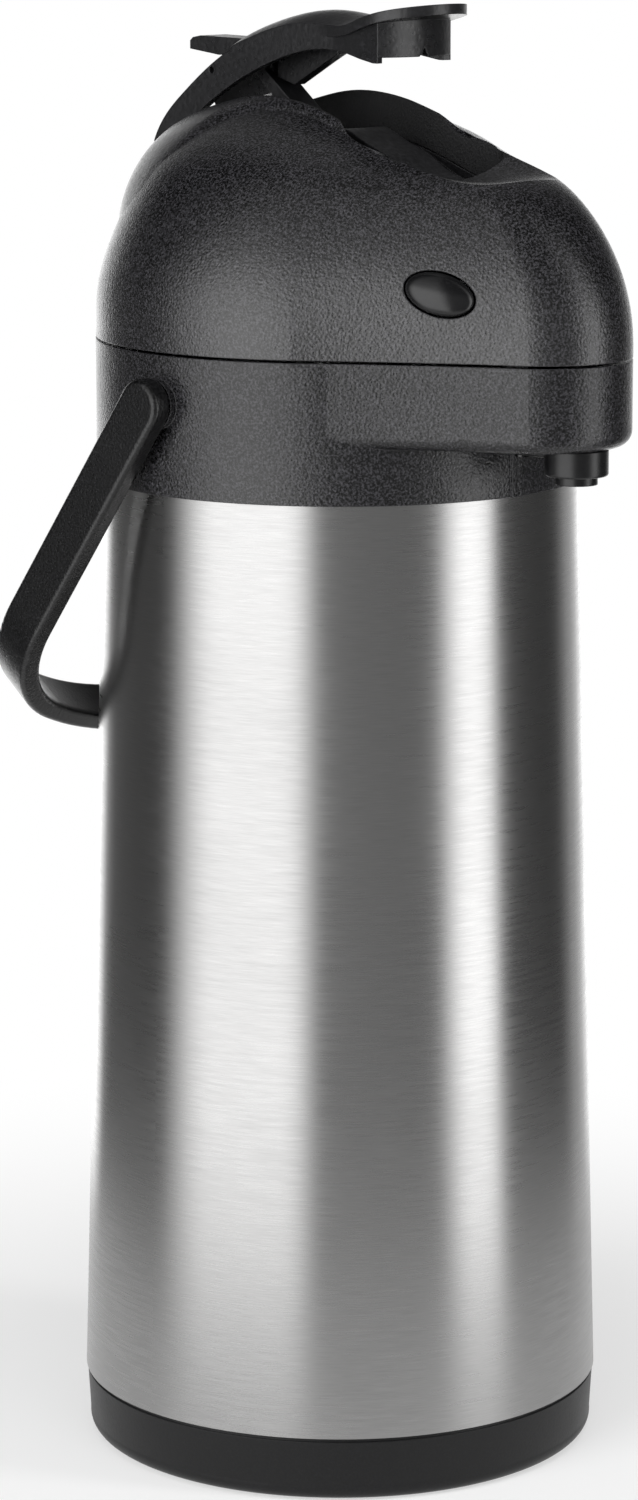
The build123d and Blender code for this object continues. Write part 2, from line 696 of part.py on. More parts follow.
# Spout tube from the stem head along the beak and down into the nozzle
STEM_RADIUS = 32.5
ELBOW_RADIUS = 7.0
with BuildPart() as spout_tube:
    with BuildLine(SIDE) as spout_route:
        Line((STEM_RADIUS - 6.0, TUBE_HEIGHT), (NOZZLE_FORWARD - ELBOW_RADIUS, TUBE_HEIGHT))
        ThreePointArc(
            (NOZZLE_FORWARD - ELBOW_RADIUS, TUBE_HEIGHT),
            (
                NOZZLE_FORWARD - ELBOW_RADIUS * (1 - sin(radians(45))),
                TUBE_HEIGHT - ELBOW_RADIUS * (1 - cos(radians(45))),
            ),
            (NOZZLE_FORWARD, TUBE_HEIGHT - ELBOW_RADIUS),
        )
        Line((NOZZLE_FORWARD, TUBE_HEIGHT - ELBOW_RADIUS), (NOZZLE_FORWARD, DECK_TOP - 2.9))
    with BuildSketch(Plane((0, -(STEM_RADIUS - 6.0), TUBE_HEIGHT), z_dir=(0, -1, 0))):
        Circle(SPOUT_TUBE_RADIUS)
        Circle(SPOUT_BORE_RADIUS, mode=Mode.SUBTRACT)
    sweep(path=spout_route.line)
save(spout_tube, "spout_tube")

# Stem head: the disc in the flask's mouth that turns the drink into the spout tube
STEM_BOTTOM = MOUTH + 1.0
STEM_TOP = 323.0
DIP_TUBE_RADIUS = 5.0
with BuildPart() as stem_head:
    with BuildSketch(plan(STEM_BOTTOM)):
        Circle(STEM_RADIUS)
    extrude(amount=STEM_TOP - STEM_BOTTOM)
    chamfer(stem_head.faces().sort_by(Axis.Z)[-1].edges(), 1.0)
    with BuildSketch(plan(STEM_BOTTOM)):
        Circle(SPOUT_BORE_RADIUS)
    extrude(amount=TUBE_HEIGHT - STEM_BOTTOM, mode=Mode.SUBTRACT)
    with BuildSketch(Plane((0, 0, TUBE_HEIGHT), z_dir=(0, -1, 0))):
        Circle(SPOUT_BORE_RADIUS)
    extrude(amount=40, mode=Mode.SUBTRACT)
    with BuildSketch(Plane((0, -(STEM_RADIUS - 6.1), TUBE_HEIGHT), z_dir=(0, -1, 0))):
        Circle(SPOUT_TUBE_RADIUS + 0.05)
    extrude(amount=10, mode=Mode.SUBTRACT)
    # Air holes from the pump into the flask
    with BuildSketch(plan(STEM_BOTTOM)):
        with Locations((-14, 0), (-8, 12), (-8, -12)):
            Circle(2.5)
    extrude(amount=20, mode=Mode.SUBTRACT)
save(stem_head, "stem_head")

SOCKET_DEPTH = 14.0
with BuildPart() as stem_socket:
    with BuildSketch(plan(STEM_BOTTOM - SOCKET_DEPTH)):
        Circle(DIP_TUBE_RADIUS + 2.0)
        Circle(DIP_TUBE_RADIUS + 0.05, mode=Mode.SUBTRACT)
    extrude(amount=SOCKET_DEPTH)
save(stem_socket, "stem_socket")

with BuildPart() as stem_gasket:
    with BuildSketch(plan(MOUTH)):
        Circle(STEM_RADIUS)
        Circle(STEM_RADIUS - 4.5, mode=Mode.SUBTRACT)
    extrude(amount=STEM_BOTTOM - MOUTH)
save(stem_gasket, "stem_gasket")

DIP_TUBE_BOTTOM = 34.0
with BuildPart() as dip_tube:
    with BuildSketch(plan(DIP_TUBE_BOTTOM)):
        Circle(DIP_TUBE_RADIUS)
        Circle(SPOUT_BORE_RADIUS, mode=Mode.SUBTRACT)
    extrude(amount=STEM_BOTTOM - 0.05 - DIP_TUBE_BOTTOM)
    with BuildSketch(Plane.YZ.offset(-10)):
        with Locations((0, DIP_TUBE_BOTTOM)):
            Rectangle(3.0, 8.0)
    extrude(amount=20, mode=Mode.SUBTRACT)
save(dip_tube, "dip_tube")

# Carrying bail: one flat band bent to a U, with stubs that snap into the collar's bosses
bail_drop = radians(BAIL_REST_ANGLE)
BAIL_PLANE = Plane(
    (0, 0, BAIL_PIVOT_HEIGHT), x_dir=(1, 0, 0), z_dir=(0, -cos(bail_drop), -sin(bail_drop))
)


def bail_outline(offset):
    """The U of the band drawn out or in from its middle line: arms, tight corners, shallow bottom bow."""
    start = BAIL_WIDTH / 2
    arm = BAIL_HALF_SPAN + offset
    corner_side = BAIL_HALF_SPAN - BAIL_CORNER_RADIUS
    turn = atan2(BAIL_CORNER_DEPTH - BAIL_BOW_DEPTH, corner_side)
    corner = BAIL_CORNER_RADIUS + offset
    bow = hypot(BAIL_CORNER_DEPTH - BAIL_BOW_DEPTH, corner_side) + corner
    for side in (-1, 1):
        middle, end = [
            (side * (corner_side + corner * cos(angle)), -BAIL_CORNER_DEPTH - corner * sin(angle))
            for angle in (turn / 2, turn)
        ]
        Line((side * arm, start), (side * arm, -BAIL_CORNER_DEPTH))
        ThreePointArc((side * arm, -BAIL_CORNER_DEPTH), middle, end)
    ThreePointArc(end, (0, -BAIL_BOW_DEPTH - bow), (-end[0], end[1]))


with BuildPart() as bail_handle:
    with BuildSketch(BAIL_PLANE):
        with BuildLine():
            half = BAIL_THICKNESS / 2
            top = BAIL_WIDTH / 2
            bail_outline(half)
            bail_outline(-half)
            for side in (-1, 1):
                Line((side * (BAIL_HALF_SPAN + half), top), (side * (BAIL_HALF_SPAN - half), top))
        make_face()
    extrude(amount=BAIL_WIDTH / 2, both=True)
    end_edges = bail_handle.edges().filter_by(Axis.X).sort_by(
        lambda edge: -edge.center().dot(BAIL_PLANE.y_dir)
    )
    fillet(end_edges[:4], BAIL_WIDTH / 2 - 0.15)
    band_sides = bail_handle.faces().filter_by(
        lambda face: abs(face.normal_at().dot(BAIL_PLANE.z_dir)) > 0.999
    )
    fillet(band_sides.edges(), BAIL_EDGE_RADIUS)
    for side in (-1, 1):
        with BuildSketch(Plane((side * (COLLAR_RADIUS - 5.5), 0, BAIL_PIVOT_HEIGHT), z_dir=(side, 0, 0))):
            Circle(BAIL_STUB_RADIUS)
        extrude(amount=BAIL_HALF_SPAN - COLLAR_RADIUS + 5.5)
save(bail_handle, "bail_handle")

# Two screws that hold the channel piece up into the beak's floor
with BuildPart() as housing_screws:
    for side in (-1, 1):
        with BuildSketch(plan(BEAK_BOTTOM - CHANNEL_DEPTH - 0.6)):
            with Locations((78.0, side * 4.5)):
                Circle(2.0)
        extrude(amount=0.9)
save(housing_screws, "housing_screws")

# Hinge pin through the collar's lugs and the lid's knuckle
with BuildPart() as hinge_pin:
    with BuildSketch(Plane((-HINGE_LUG_OUTER, HINGE_BACK, HINGE_HEIGHT), z_dir=(1, 0, 0))):
        Circle(HINGE_PIN_RADIUS - 0.02)
    extrude(amount=2 * HINGE_LUG_OUTER)
save(hinge_pin, "hinge_pin")


def button_plane(side):
    """The leaning plane of a release button, its long axis falling to the front."""
    facing = radians(BUTTON_FACING)
    lean = radians(BUTTON_LEAN)
    tilt = radians(BUTTON_TILT)
    normal = Vector(side * sin(facing) * cos(lean), -cos(facing) * cos(lean), sin(lean))
    level = Vector(-side * cos(facing), -sin(facing), 0)
    upright = normal.cross(level) * -side
    along = level * cos(tilt) - upright * sin(tilt)
    return Plane((side * BUTTON_SIDE, -BUTTON_FORWARD, SEAM + BUTTON_ABOVE_SEAM), x_dir=along, z_dir=normal)


POST_FORWARD = 40.0
POST_SIDE = 45.0
POST_RADIUS = 4.0
POST_BOTTOM = SEAM + 3.8
KNUCKLE_HALF = 8.7
CHEEK_THICKNESS = 3.0
PIVOT_HEIGHT = SEAM + LEVER_PIVOT_ABOVE_SEAM

head = head_solid(0.0)
with BuildPart() as lid_form:
    add(head)
    add(hood_solid())
    add(dish_solid(), mode=Mode.SUBTRACT)


def cheek_plane(side, distance):
    """The side view moved out to one side, facing outward."""
    return Plane((side * distance, 0, 0), x_dir=(0, -1, 0), z_dir=(-1, 0, 0))


# Screw posts and lever cheeks, trimmed to the lid's outside
with BuildPart() as lid_ribs:
    with BuildSketch(plan(POST_BOTTOM)):
        for forward in (-POST_FORWARD, POST_FORWARD):
            with Locations((forward, POST_SIDE), (forward, -POST_SIDE)):
                Circle(POST_RADIUS)
    extrude(amount=80)
    for side in (-1, 1):
        with BuildSketch(cheek_plane(side, SLOT_HALF_WIDTH + CHEEK_THICKNESS / 2)):
            with Locations((-48.5, SEAM + 47.0)):
                Rectangle(17.0, 18.0)
        extrude(amount=CHEEK_THICKNESS / 2, both=True)
    add(lid_form.part, mode=Mode.INTERSECT)

# Skirt that turns down round the slot
with BuildPart() as slot_skirt:
    add(slot_prism(TRAY_WALL, SEAM + 20))
    add(lid_form.part, mode=Mode.INTERSECT)
    add(lid_space(SKIRT_DEPTH, PLASTIC_WALL, -1.0), mode=Mode.SUBTRACT)

# Lid shell: hooded head with the lever slot, the front scoop and the button holes
with BuildPart() as lid_dome:
    add(lid_form.part)
    add(lid_space(PLASTIC_WALL, PLASTIC_WALL, -1.0), mode=Mode.SUBTRACT)
    add(lid_ribs.part)
    add(slot_skirt.part)
    add(well_solid(0.0, 0.0), mode=Mode.SUBTRACT)
    for side in (-1, 1):
        with BuildSketch(button_plane(side)):
            Ellipse(BUTTON_LONG_RADIUS + BUTTON_GAP, BUTTON_SHORT_RADIUS + BUTTON_GAP)
        extrude(amount=7, both=True, mode=Mode.SUBTRACT)
        # Pivot bosses for the lever pin
        with BuildSketch(cheek_plane(side, 16.5)):
            with Locations((LEVER_PIVOT_FORWARD, PIVOT_HEIGHT)):
                Circle(4.5)
        extrude(amount=3.3, both=True)
    with BuildSketch(SIDE):
        with Locations((LEVER_PIVOT_FORWARD, PIVOT_HEIGHT)):
            Circle(LEVER_PIN_RADIUS + 0.02)
    extrude(amount=18.5, both=True, mode=Mode.SUBTRACT)
    # Hinge knuckle at the back
    with BuildSketch(SIDE):
        with Locations((-HINGE_BACK, HINGE_HEIGHT)):
            Circle(HINGE_KNUCKLE_RADIUS)
        with BuildLine():
            Polyline(
                (-HINGE_BACK - 3.0, HINGE_HEIGHT + 2.9),
                (-COLLAR_RADIUS + 1.2, SEAM + 12.0),
                (-COLLAR_RADIUS + 1.2, SEAM),
                (-HINGE_BACK, SEAM),
                close=True,
            )
        make_face()
    extrude(amount=KNUCKLE_HALF, both=True)
    with BuildSketch(SIDE):
        with Locations((-HINGE_BACK, HINGE_HEIGHT)):
            Circle(HINGE_PIN_RADIUS + RUNNING_CLEARANCE)
    extrude(amount=20, both=True, mode=Mode.SUBTRACT)
    # Pilot holes in the posts
    with BuildSketch(plan(POST_BOTTOM)):
        for forward in (-POST_FORWARD, POST_FORWARD):
            with Locations((forward, POST_SIDE), (forward, -POST_SIDE)):
                Circle(1.6)
    extrude(amount=12, mode=Mode.SUBTRACT)
save(lid_dome, "lid_dome")

# Ridge along the tray's floor, set half way into its thickness
with BuildPart() as floor_ridge:
    with BuildSketch(SIDE):
        with BuildLine():
            ridge_top = above_seam(RIDGE_LINE)
            Spline(*ridge_top)
            Polyline(
                ridge_top[-1],
                (ridge_top[-1][0], SEAM + RIDGE_FOOT),
                (ridge_top[0][0], SEAM + RIDGE_FOOT),
                ridge_top[0],
            )
        make_face()
    extrude(amount=RIDGE_HALF, both=True)
    add(well_solid(TRAY_WALL / 2, TRAY_FLOOR / 2), mode=Mode.INTERSECT)

# Tray under the slot: floor humped over the pump, with a window for the lever's leg
with BuildPart() as lever_well:
    add(well_solid(TRAY_WALL, TRAY_FLOOR))
    add(lid_space(SKIRT_DEPTH + 0.15, PLASTIC_WALL + 0.15, 8.0), mode=Mode.INTERSECT)
    add(well_solid(0.0, 0.0), mode=Mode.SUBTRACT)
    add(floor_ridge.part)
    with BuildSketch(plan(SEAM)):
        with Locations((-10.0, 0)):
            Rectangle(28.0, 11.0)
    extrude(amount=120, mode=Mode.SUBTRACT)
    for side in (-1, 1):
        with BuildSketch(cheek_plane(side, SLOT_HALF_WIDTH + 4.9)):
            with Locations((-49.5, SEAM + 47.0)):
                Rectangle(20.0, 19.0)
        extrude(amount=5.0, both=True, mode=Mode.SUBTRACT)
save(lever_well, "lever_well")

# Plate that closes the lid from below, with the air duct and the button guides
PLATE_BOTTOM = SEAM + 1.0
PLATE_TOP = SEAM + 3.5
DUCT_RADIUS = 20.0
DUCT_BORE = 17.0
DUCT_BOTTOM = STEM_TOP + 1.5
GUIDE_DEPTH = 14.0
with BuildPart() as lid_base_plate:
    with BuildSketch(plan(PLATE_BOTTOM)):
        with BuildLine():
            head_outline(seam_station, PLASTIC_WALL + 0.4)
        make_face()
    extrude(amount=PLATE_TOP - PLATE_BOTTOM)
    with BuildSketch(plan(DUCT_BOTTOM)):
        Circle(DUCT_RADIUS)
    extrude(amount=PLATE_BOTTOM - DUCT_BOTTOM)
    with BuildSketch(plan(DUCT_BOTTOM)):
        Circle(DUCT_BORE)
    extrude(amount=PLATE_BOTTOM - DUCT_BOTTOM, mode=Mode.SUBTRACT)
    with BuildSketch(plan(PLATE_BOTTOM)):
        with PolarLocations(9.0, 4):
            Circle(2.5)
    extrude(amount=PLATE_TOP - PLATE_BOTTOM, mode=Mode.SUBTRACT)
    for side in (-1, 1):
        guide = button_plane(side)
        foot = guide.origin - guide.z_dir * GUIDE_DEPTH
        across = Vector(guide.z_dir.Y, -guide.z_dir.X, 0).normalized()
        with BuildSketch(Plane((foot.X, foot.Y, PLATE_TOP - 0.5), x_dir=across, z_dir=(0, 0, 1))):
            Rectangle(14.0, 3.5)
        extrude(amount=foot.Z + 6.0 - PLATE_TOP + 0.5)
        with BuildSketch(guide.offset(-GUIDE_DEPTH)):
            Circle(3.05)
        extrude(amount=5, both=True, mode=Mode.SUBTRACT)
    with BuildSketch(plan(PLATE_BOTTOM)):
        for forward in (-POST_FORWARD, POST_FORWARD):
            with Locations((forward, POST_SIDE), (forward, -POST_SIDE)):
                Circle(1.7)
    extrude(amount=PLATE_TOP - PLATE_BOTTOM, mode=Mode.SUBTRACT)
    # Catch tongues that drop inside the beak's walls
    with BuildSketch(plan(SEAM - 8.0)):
        with Locations((84.0, 14.0), (84.0, -14.0)):
            Rectangle(8.0, 2.2)
    extrude(amount=PLATE_BOTTOM - SEAM + 8.0)
save(lid_base_plate, "lid_base_plate")

with BuildPart() as lid_gasket:
    with BuildSketch(plan(STEM_TOP + 0.1)):
        Circle(DUCT_RADIUS)
        Circle(DUCT_BORE, mode=Mode.SUBTRACT)
    extrude(amount=DUCT_BOTTOM - STEM_TOP - 0.15)
save(lid_gasket, "lid_gasket")

with BuildPart() as lid_screws:
    with BuildSketch(plan(PLATE_BOTTOM - 1.9)):
        for forward in (-POST_FORWARD, POST_FORWARD):
            with Locations((forward, POST_SIDE), (forward, -POST_SIDE)):
                Circle(3.2)
    extrude(amount=1.8)
    with BuildSketch(plan(PLATE_BOTTOM - 0.1)):
        for forward in (-POST_FORWARD, POST_FORWARD):
            with Locations((forward, POST_SIDE), (forward, -POST_SIDE)):
                Circle(1.5)
    extrude(amount=12)
    with BuildSketch(plan(PLATE_BOTTOM - 1.9)):
        for forward in (-POST_FORWARD, POST_FORWARD):
            with Locations((forward, POST_SIDE), (forward, -POST_SIDE)):
                Rectangle(4.0, 0.8)
                Rectangle(0.8, 4.0)
    extrude(amount=1.0, mode=Mode.SUBTRACT)
save(lid_screws, "lid_screws")

# Pump: seat, flap valve, bellows, return spring and plunger
SEAT_TOP = BELLOWS_BOTTOM - 0.05
with BuildPart() as bellows_seat:
    with BuildSketch(plan(PLATE_TOP + 0.05)):
        Circle(BELLOWS_RADIUS + 1.0)
    extrude(amount=SEAT_TOP - PLATE_TOP - 0.05)
    with BuildSketch(plan(PLATE_TOP)):
        with PolarLocations(9.0, 4):
            Circle(2.5)
    extrude(amount=10, mode=Mode.SUBTRACT)
save(bellows_seat, "bellows_seat")

with BuildPart() as valve_flap:
    with BuildSketch(plan(BELLOWS_BOTTOM)):
        Circle(8.0)
    extrude(amount=0.8)
save(valve_flap, "valve_flap")

FOLD_PITCH = (BELLOWS_TOP - BELLOWS_BOTTOM - 3.0) / BELLOWS_FOLDS
with BuildPart() as bellows:
    with BuildSketch(Plane.XZ):
        with BuildLine():
            outside = [(BELLOWS_ROOT_RADIUS, BELLOWS_BOTTOM), (BELLOWS_ROOT_RADIUS, BELLOWS_BOTTOM + 1.5)]
            for fold in range(BELLOWS_FOLDS):
                foot = BELLOWS_BOTTOM + 1.5 + fold * FOLD_PITCH
                outside.append((BELLOWS_RADIUS, foot + FOLD_PITCH / 2))
                outside.append((BELLOWS_ROOT_RADIUS, foot + FOLD_PITCH))
            outside.append((BELLOWS_ROOT_RADIUS, BELLOWS_TOP))
            inside = [(radius - BELLOWS_WALL, height) for radius, height in reversed(outside)]
            Polyline(*outside, *inside, close=True)
        make_face()
    revolve(axis=Axis.Z)
save(bellows, "bellows")

SPRING_RADIUS = 12.0
SPRING_WIRE = 0.75
SPRING_BOTTOM = SEAM + 8.0
SPRING_HEIGHT = 33.0
SPRING_PITCH = 5.2
with BuildPart() as return_spring:
    with BuildLine(Plane.XY.offset(SPRING_BOTTOM + SPRING_WIRE)):
        Helix(pitch=SPRING_PITCH, height=SPRING_HEIGHT - 2 * SPRING_WIRE, radius=SPRING_RADIUS)
    with BuildSketch(Plane((SPRING_RADIUS, 0, SPRING_BOTTOM + SPRING_WIRE), z_dir=(0, 1, 0.07))):
        Circle(SPRING_WIRE)
    sweep(is_frenet=True)
save(return_spring, "return_spring")

with BuildPart() as plunger:
    with BuildSketch(plan(BELLOWS_TOP + 0.05)):
        Circle(BELLOWS_ROOT_RADIUS - 0.5)
    extrude(amount=1.5)
    with BuildSketch(plan(BELLOWS_TOP)):
        Circle(10.0)
    extrude(amount=SEAM + 46.2 - BELLOWS_TOP)
    with BuildSketch(plan(SEAM + 30.5)):
        Circle(5.0)
    extrude(amount=12)
save(plunger, "plunger")

# Lever pin and release buttons
with BuildPart() as lever_pin:
    with BuildSketch(SIDE):
        with Locations((LEVER_PIVOT_FORWARD, PIVOT_HEIGHT)):
            Circle(LEVER_PIN_RADIUS)
    extrude(amount=18, both=True)
save(lever_pin, "lever_pin")

BUTTON_CROWN = 3.4
for side, hand in ((-1, "left"), (1, "right")):
    face = button_plane(side)
    button_size = (BUTTON_LONG_RADIUS, BUTTON_SHORT_RADIUS, BUTTON_CROWN)
    crown = face * Pos(0, 0, 0.4) * scale(Sphere(1.0), by=button_size)
    with BuildPart() as release_button:
        with BuildSketch(face.offset(-7.0)):
            Ellipse(BUTTON_LONG_RADIUS, BUTTON_SHORT_RADIUS)
        extrude(amount=7.4)
        add(crown)
        with BuildSketch(face.offset(-18.0)):
            Circle(3.0)
        extrude(amount=12)
    save(release_button, f"release_button_{hand}")

# Pump lever: cambered plate on two flanges, with a leg that pushes the plunger
FLANGE_UPPER = [
    (-66.5, 53.0),
    (-61.3, 60.8),
    (-53.3, 67.8),
    (-41.1, 76.5),
    (-24.7, 84.7),
    (-11.6, 88.4),
    (0.8, 89.4),
    (12.0, 89.2),
]
FLANGE_LOWER = [(16.0, 81.5), (0.8, 82.1), (-17.6, 77.4), (-38.5, 67.6), (-50.0, 60.0)]
FLANGE_FOOT = [(-50.2, 50.0), (-54.5, 45.6), (-58.0, 46.0), (-63.0, 48.0)]
PLATE_LINE = [
    (-33.0, 81.6),
    (-24.7, 84.7),
    (-11.6, 88.4),
    (0.8, 89.4),
    (10.0, 89.0),
    (17.0, 89.8),
    (23.4, 91.6),
    (30.3, 93.5),
    (38.0, 95.0),
    (46.0, 96.2),
]
CROWN_STATIONS = [
    (-33.0, 81.6, 3.3),
    (-24.7, 84.7, 3.8),
    (-11.6, 88.4, 3.5),
    (0.8, 89.4, 3.5),
    (9.0, 89.1, 2.9),
    (16.0, 89.6, 1.4),
    (22.0, 91.0, 0.3),
]
LEG_OUTLINE = [(-38, 80), (-32, 75), (0, 47.5), (6, 47.5), (6, 49.5), (-27, 75.3), (-26, 83)]
RIB_OUTLINE = [
    (-52.0, 66.0),
    (-50.0, 61.5),
    (-42.0, 63.5),
    (-34.0, 66.5),
    (-28.0, 68.0),
    (-24.0, 69.0),
    (-28.0, 82.0),
    (-36.0, 79.0),
]
FRONT_RIB_OUTLINE = [
    (1.1, 80.6),
    (-4.2, 77.9),
    (-10.5, 74.5),
    (-17.0, 71.0),
    (-24.0, 73.0),
    (-24.0, 83.5),
    (-11.6, 87.0),
    (1.1, 88.0),
]
TONGUE_OUTLINE = [
    (-58.6, 80.0),
    (-58.6, 82.4),
    (-57.4, 83.4),
    (-54.0, 84.0),
    (-40.0, 83.8),
    (-24.0, 83.4),
    (-24.0, 80.0),
    (-46.0, 78.6),
]
GUSSET_OUTLINE = [
    (10.0, 88.0),
    (10.0, 82.4),
    (16.0, 81.6),
    (22.0, 80.3),
    (28.0, 79.3),
    (31.5, 79.3),
    (31.5, 92.6),
    (23.4, 90.6),
    (17.0, 88.8),
]
RIB_HALF = 2.0
TONGUE_HALF = 5.0
LEG_HALF = 4.5
WALL_BOTTOM = 80.9
WALL_TOP = 92.6
WALL_CORNER = (30.2, 14.6)
WALL_MIDDLE = 33.8
WALL_THICKNESS = 2.0
WALL_NOTCH = [(-2.2, 80.0), (2.6, 80.0), (0.6, 83.4)]


# The plate: the side-view line thickened and cut to its plan
with BuildPart() as lever_plate:
    with BuildSketch(SIDE):
        with BuildLine():
            top_line = above_seam(PLATE_LINE)
            bottom_line = [(forward, height - LEVER_PLATE) for forward, height in reversed(top_line)]
            Spline(*top_line)
            Line(top_line[-1], bottom_line[0])
            Spline(*bottom_line)
            Line(bottom_line[-1], top_line[0])
        make_face()
    extrude(amount=20, both=True)
    with BuildSketch(plan(SEAM + 60)):
        with BuildLine():
            Polyline(
                (4, LEVER_HALF_WIDTH),
                (-40, LEVER_HALF_WIDTH),
                (-40, -LEVER_HALF_WIDTH),
                (4, -LEVER_HALF_WIDTH),
            )
            ThreePointArc(
                (LEVER_TIP_CENTRE, LEVER_TIP_RADIUS),
                (LEVER_TIP_CENTRE + LEVER_TIP_RADIUS, 0),
                (LEVER_TIP_CENTRE, -LEVER_TIP_RADIUS),
            )
            Spline(
                (4, LEVER_HALF_WIDTH), (LEVER_TIP_CENTRE, LEVER_TIP_RADIUS), tangents=((1, 0), (1, 0))
            )
            Spline(
                (4, -LEVER_HALF_WIDTH), (LEVER_TIP_CENTRE, -LEVER_TIP_RADIUS), tangents=((1, 0), (1, 0))
            )
        make_face()
    extrude(amount=60, mode=Mode.INTERSECT)

# The crown that swells on top of the plate and sinks into it at the front
with BuildPart() as lever_crown:
    for forward, height, sagitta in CROWN_STATIONS:
        section = Plane((0, -forward, SEAM + height), x_dir=(1, 0, 0), z_dir=(0, -1, 0))
        with BuildSketch(section):
            with BuildLine():
                ThreePointArc((-LEVER_HALF_WIDTH, 0), (0, sagitta), (LEVER_HALF_WIDTH, 0))
                Polyline(
                    (LEVER_HALF_WIDTH, 0),
                    (LEVER_HALF_WIDTH, -1),
                    (-LEVER_HALF_WIDTH, -1),
                    (-LEVER_HALF_WIDTH, 0),
                )
            make_face()
    loft()

# Gussets that flare from the flanges out to the front wall
with BuildPart() as lever_gussets:
    with BuildSketch(SIDE):
        with BuildLine():
            Polyline(*above_seam(GUSSET_OUTLINE), close=True)
        make_face()
    extrude(amount=20, both=True)
    with BuildSketch(plan(SEAM + 70)):
        for side in (-1, 1):
            with BuildLine():
                Polyline(
                    (10.0, side * (LEVER_HALF_WIDTH - LEVER_FLANGE)),
                    (10.0, side * LEVER_HALF_WIDTH),
                    (WALL_CORNER[0], side * WALL_CORNER[1]),
                    (WALL_CORNER[0] - 0.6, side * (WALL_CORNER[1] - LEVER_FLANGE)),
                    close=True,
                )
            make_face()
    extrude(amount=30, mode=Mode.INTERSECT)

with BuildPart() as pump_lever:
    add(lever_plate.part)
    add(lever_crown.part)
    flange_upper = above_seam(FLANGE_UPPER)
    flange_lower = above_seam(FLANGE_LOWER)
    flange_foot = above_seam(FLANGE_FOOT)
    for side in (-1, 1):
        with BuildSketch(cheek_plane(side, LEVER_HALF_WIDTH - LEVER_FLANGE / 2)):
            with BuildLine():
                Spline(*flange_upper)
                Line(flange_upper[-1], flange_lower[0])
                Spline(*flange_lower)
                Polyline(flange_lower[-1], *flange_foot, flange_upper[0])
            make_face()
        extrude(amount=LEVER_FLANGE / 2, both=True)
        with BuildSketch(cheek_plane(side, 10.5)):
            with Locations((LEVER_PIVOT_FORWARD, PIVOT_HEIGHT)):
                Circle(4.4)
        extrude(amount=2.0, both=True)
    add(lever_gussets.part)
    # Bowed wall under the tip, notched in the middle
    with BuildSketch(plan(SEAM + WALL_BOTTOM)):
        with BuildLine():
            corner_forward, corner_side = WALL_CORNER
            ThreePointArc((corner_forward, -corner_side), (WALL_MIDDLE, 0), (corner_forward, corner_side))
            Line((corner_forward, corner_side), (corner_forward - WALL_THICKNESS, corner_side - 1.0))
            ThreePointArc(
                (corner_forward - WALL_THICKNESS, corner_side - 1.0),
                (WALL_MIDDLE - WALL_THICKNESS, 0),
                (corner_forward - WALL_THICKNESS, 1.0 - corner_side),
            )
            Line((corner_forward - WALL_THICKNESS, 1.0 - corner_side), (corner_forward, -corner_side))
        make_face()
    extrude(amount=WALL_TOP - WALL_BOTTOM)
    with BuildSketch(Plane((0, -20, SEAM), x_dir=(1, 0, 0), z_dir=(0, -1, 0))):
        with BuildLine():
            Polyline(*WALL_NOTCH, close=True)
        make_face()
    extrude(amount=20, mode=Mode.SUBTRACT)
    lever_parts = (
        (RIB_OUTLINE, RIB_HALF),
        (FRONT_RIB_OUTLINE, RIB_HALF),
        (TONGUE_OUTLINE, TONGUE_HALF),
        (LEG_OUTLINE, LEG_HALF),
    )
    for outline, half in lever_parts:
        with BuildSketch(SIDE):
            with BuildLine():
                Polyline(*above_seam(outline), close=True)
            make_face()
        extrude(amount=half, both=True)
    with BuildSketch(SIDE):
        with Locations((LEVER_PIVOT_FORWARD, PIVOT_HEIGHT)):
            Circle(LEVER_PIN_RADIUS + 0.06)
        with Locations((-41.1, SEAM + 74.7)):
            Circle(1.0)
    extrude(amount=20, both=True, mode=Mode.SUBTRACT)
save(pump_lever, "pump_lever")
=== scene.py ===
"""Dresses the lever airpot: finishes for every piece, softened edges, and the studio it stands in.

Metres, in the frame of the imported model. The spout points along -Y and +Z is up.
"""

from math import cos, radians, sin

import bmesh
import bpy
from bpy.props import FloatProperty, FloatVectorProperty, PointerProperty
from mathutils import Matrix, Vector


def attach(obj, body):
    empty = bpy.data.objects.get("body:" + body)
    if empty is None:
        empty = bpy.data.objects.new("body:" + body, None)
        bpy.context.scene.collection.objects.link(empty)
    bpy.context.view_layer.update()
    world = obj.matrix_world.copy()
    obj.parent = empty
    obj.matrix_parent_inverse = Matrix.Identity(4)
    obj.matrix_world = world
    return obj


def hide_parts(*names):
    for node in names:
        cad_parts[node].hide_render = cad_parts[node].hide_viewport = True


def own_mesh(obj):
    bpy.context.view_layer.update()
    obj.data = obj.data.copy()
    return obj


bl_info = {
    "name": "Lever Airpot Dressing",
    "version": (1, 0, 0),
    "blender": (4, 5, 0),
    "location": "View3D > Sidebar > Airpot",
    "description": "Finishes, softened edges and studio for a lever airpot",
    "category": "Object",
}

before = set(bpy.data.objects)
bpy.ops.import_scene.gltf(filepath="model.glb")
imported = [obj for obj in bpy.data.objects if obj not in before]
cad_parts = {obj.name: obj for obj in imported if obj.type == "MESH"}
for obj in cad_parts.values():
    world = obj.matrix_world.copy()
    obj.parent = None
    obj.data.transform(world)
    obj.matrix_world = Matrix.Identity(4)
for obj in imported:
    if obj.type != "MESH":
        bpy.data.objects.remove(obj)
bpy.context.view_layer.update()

# Camera, from the photograph's perspective
CAMERA_PLACE = (-0.957, -0.990, 0.4816)
CAMERA_PITCH = 11.3
CAMERA_LENS = 113.9
CAMERA_SHIFT = -0.0141
AXIS_TURN = 44.0

# Plastics and rubbers that show only when the lid is open
STEM_GREY = (0.3, 0.3, 0.31)
SILICONE_WHITE = (0.6, 0.6, 0.57)

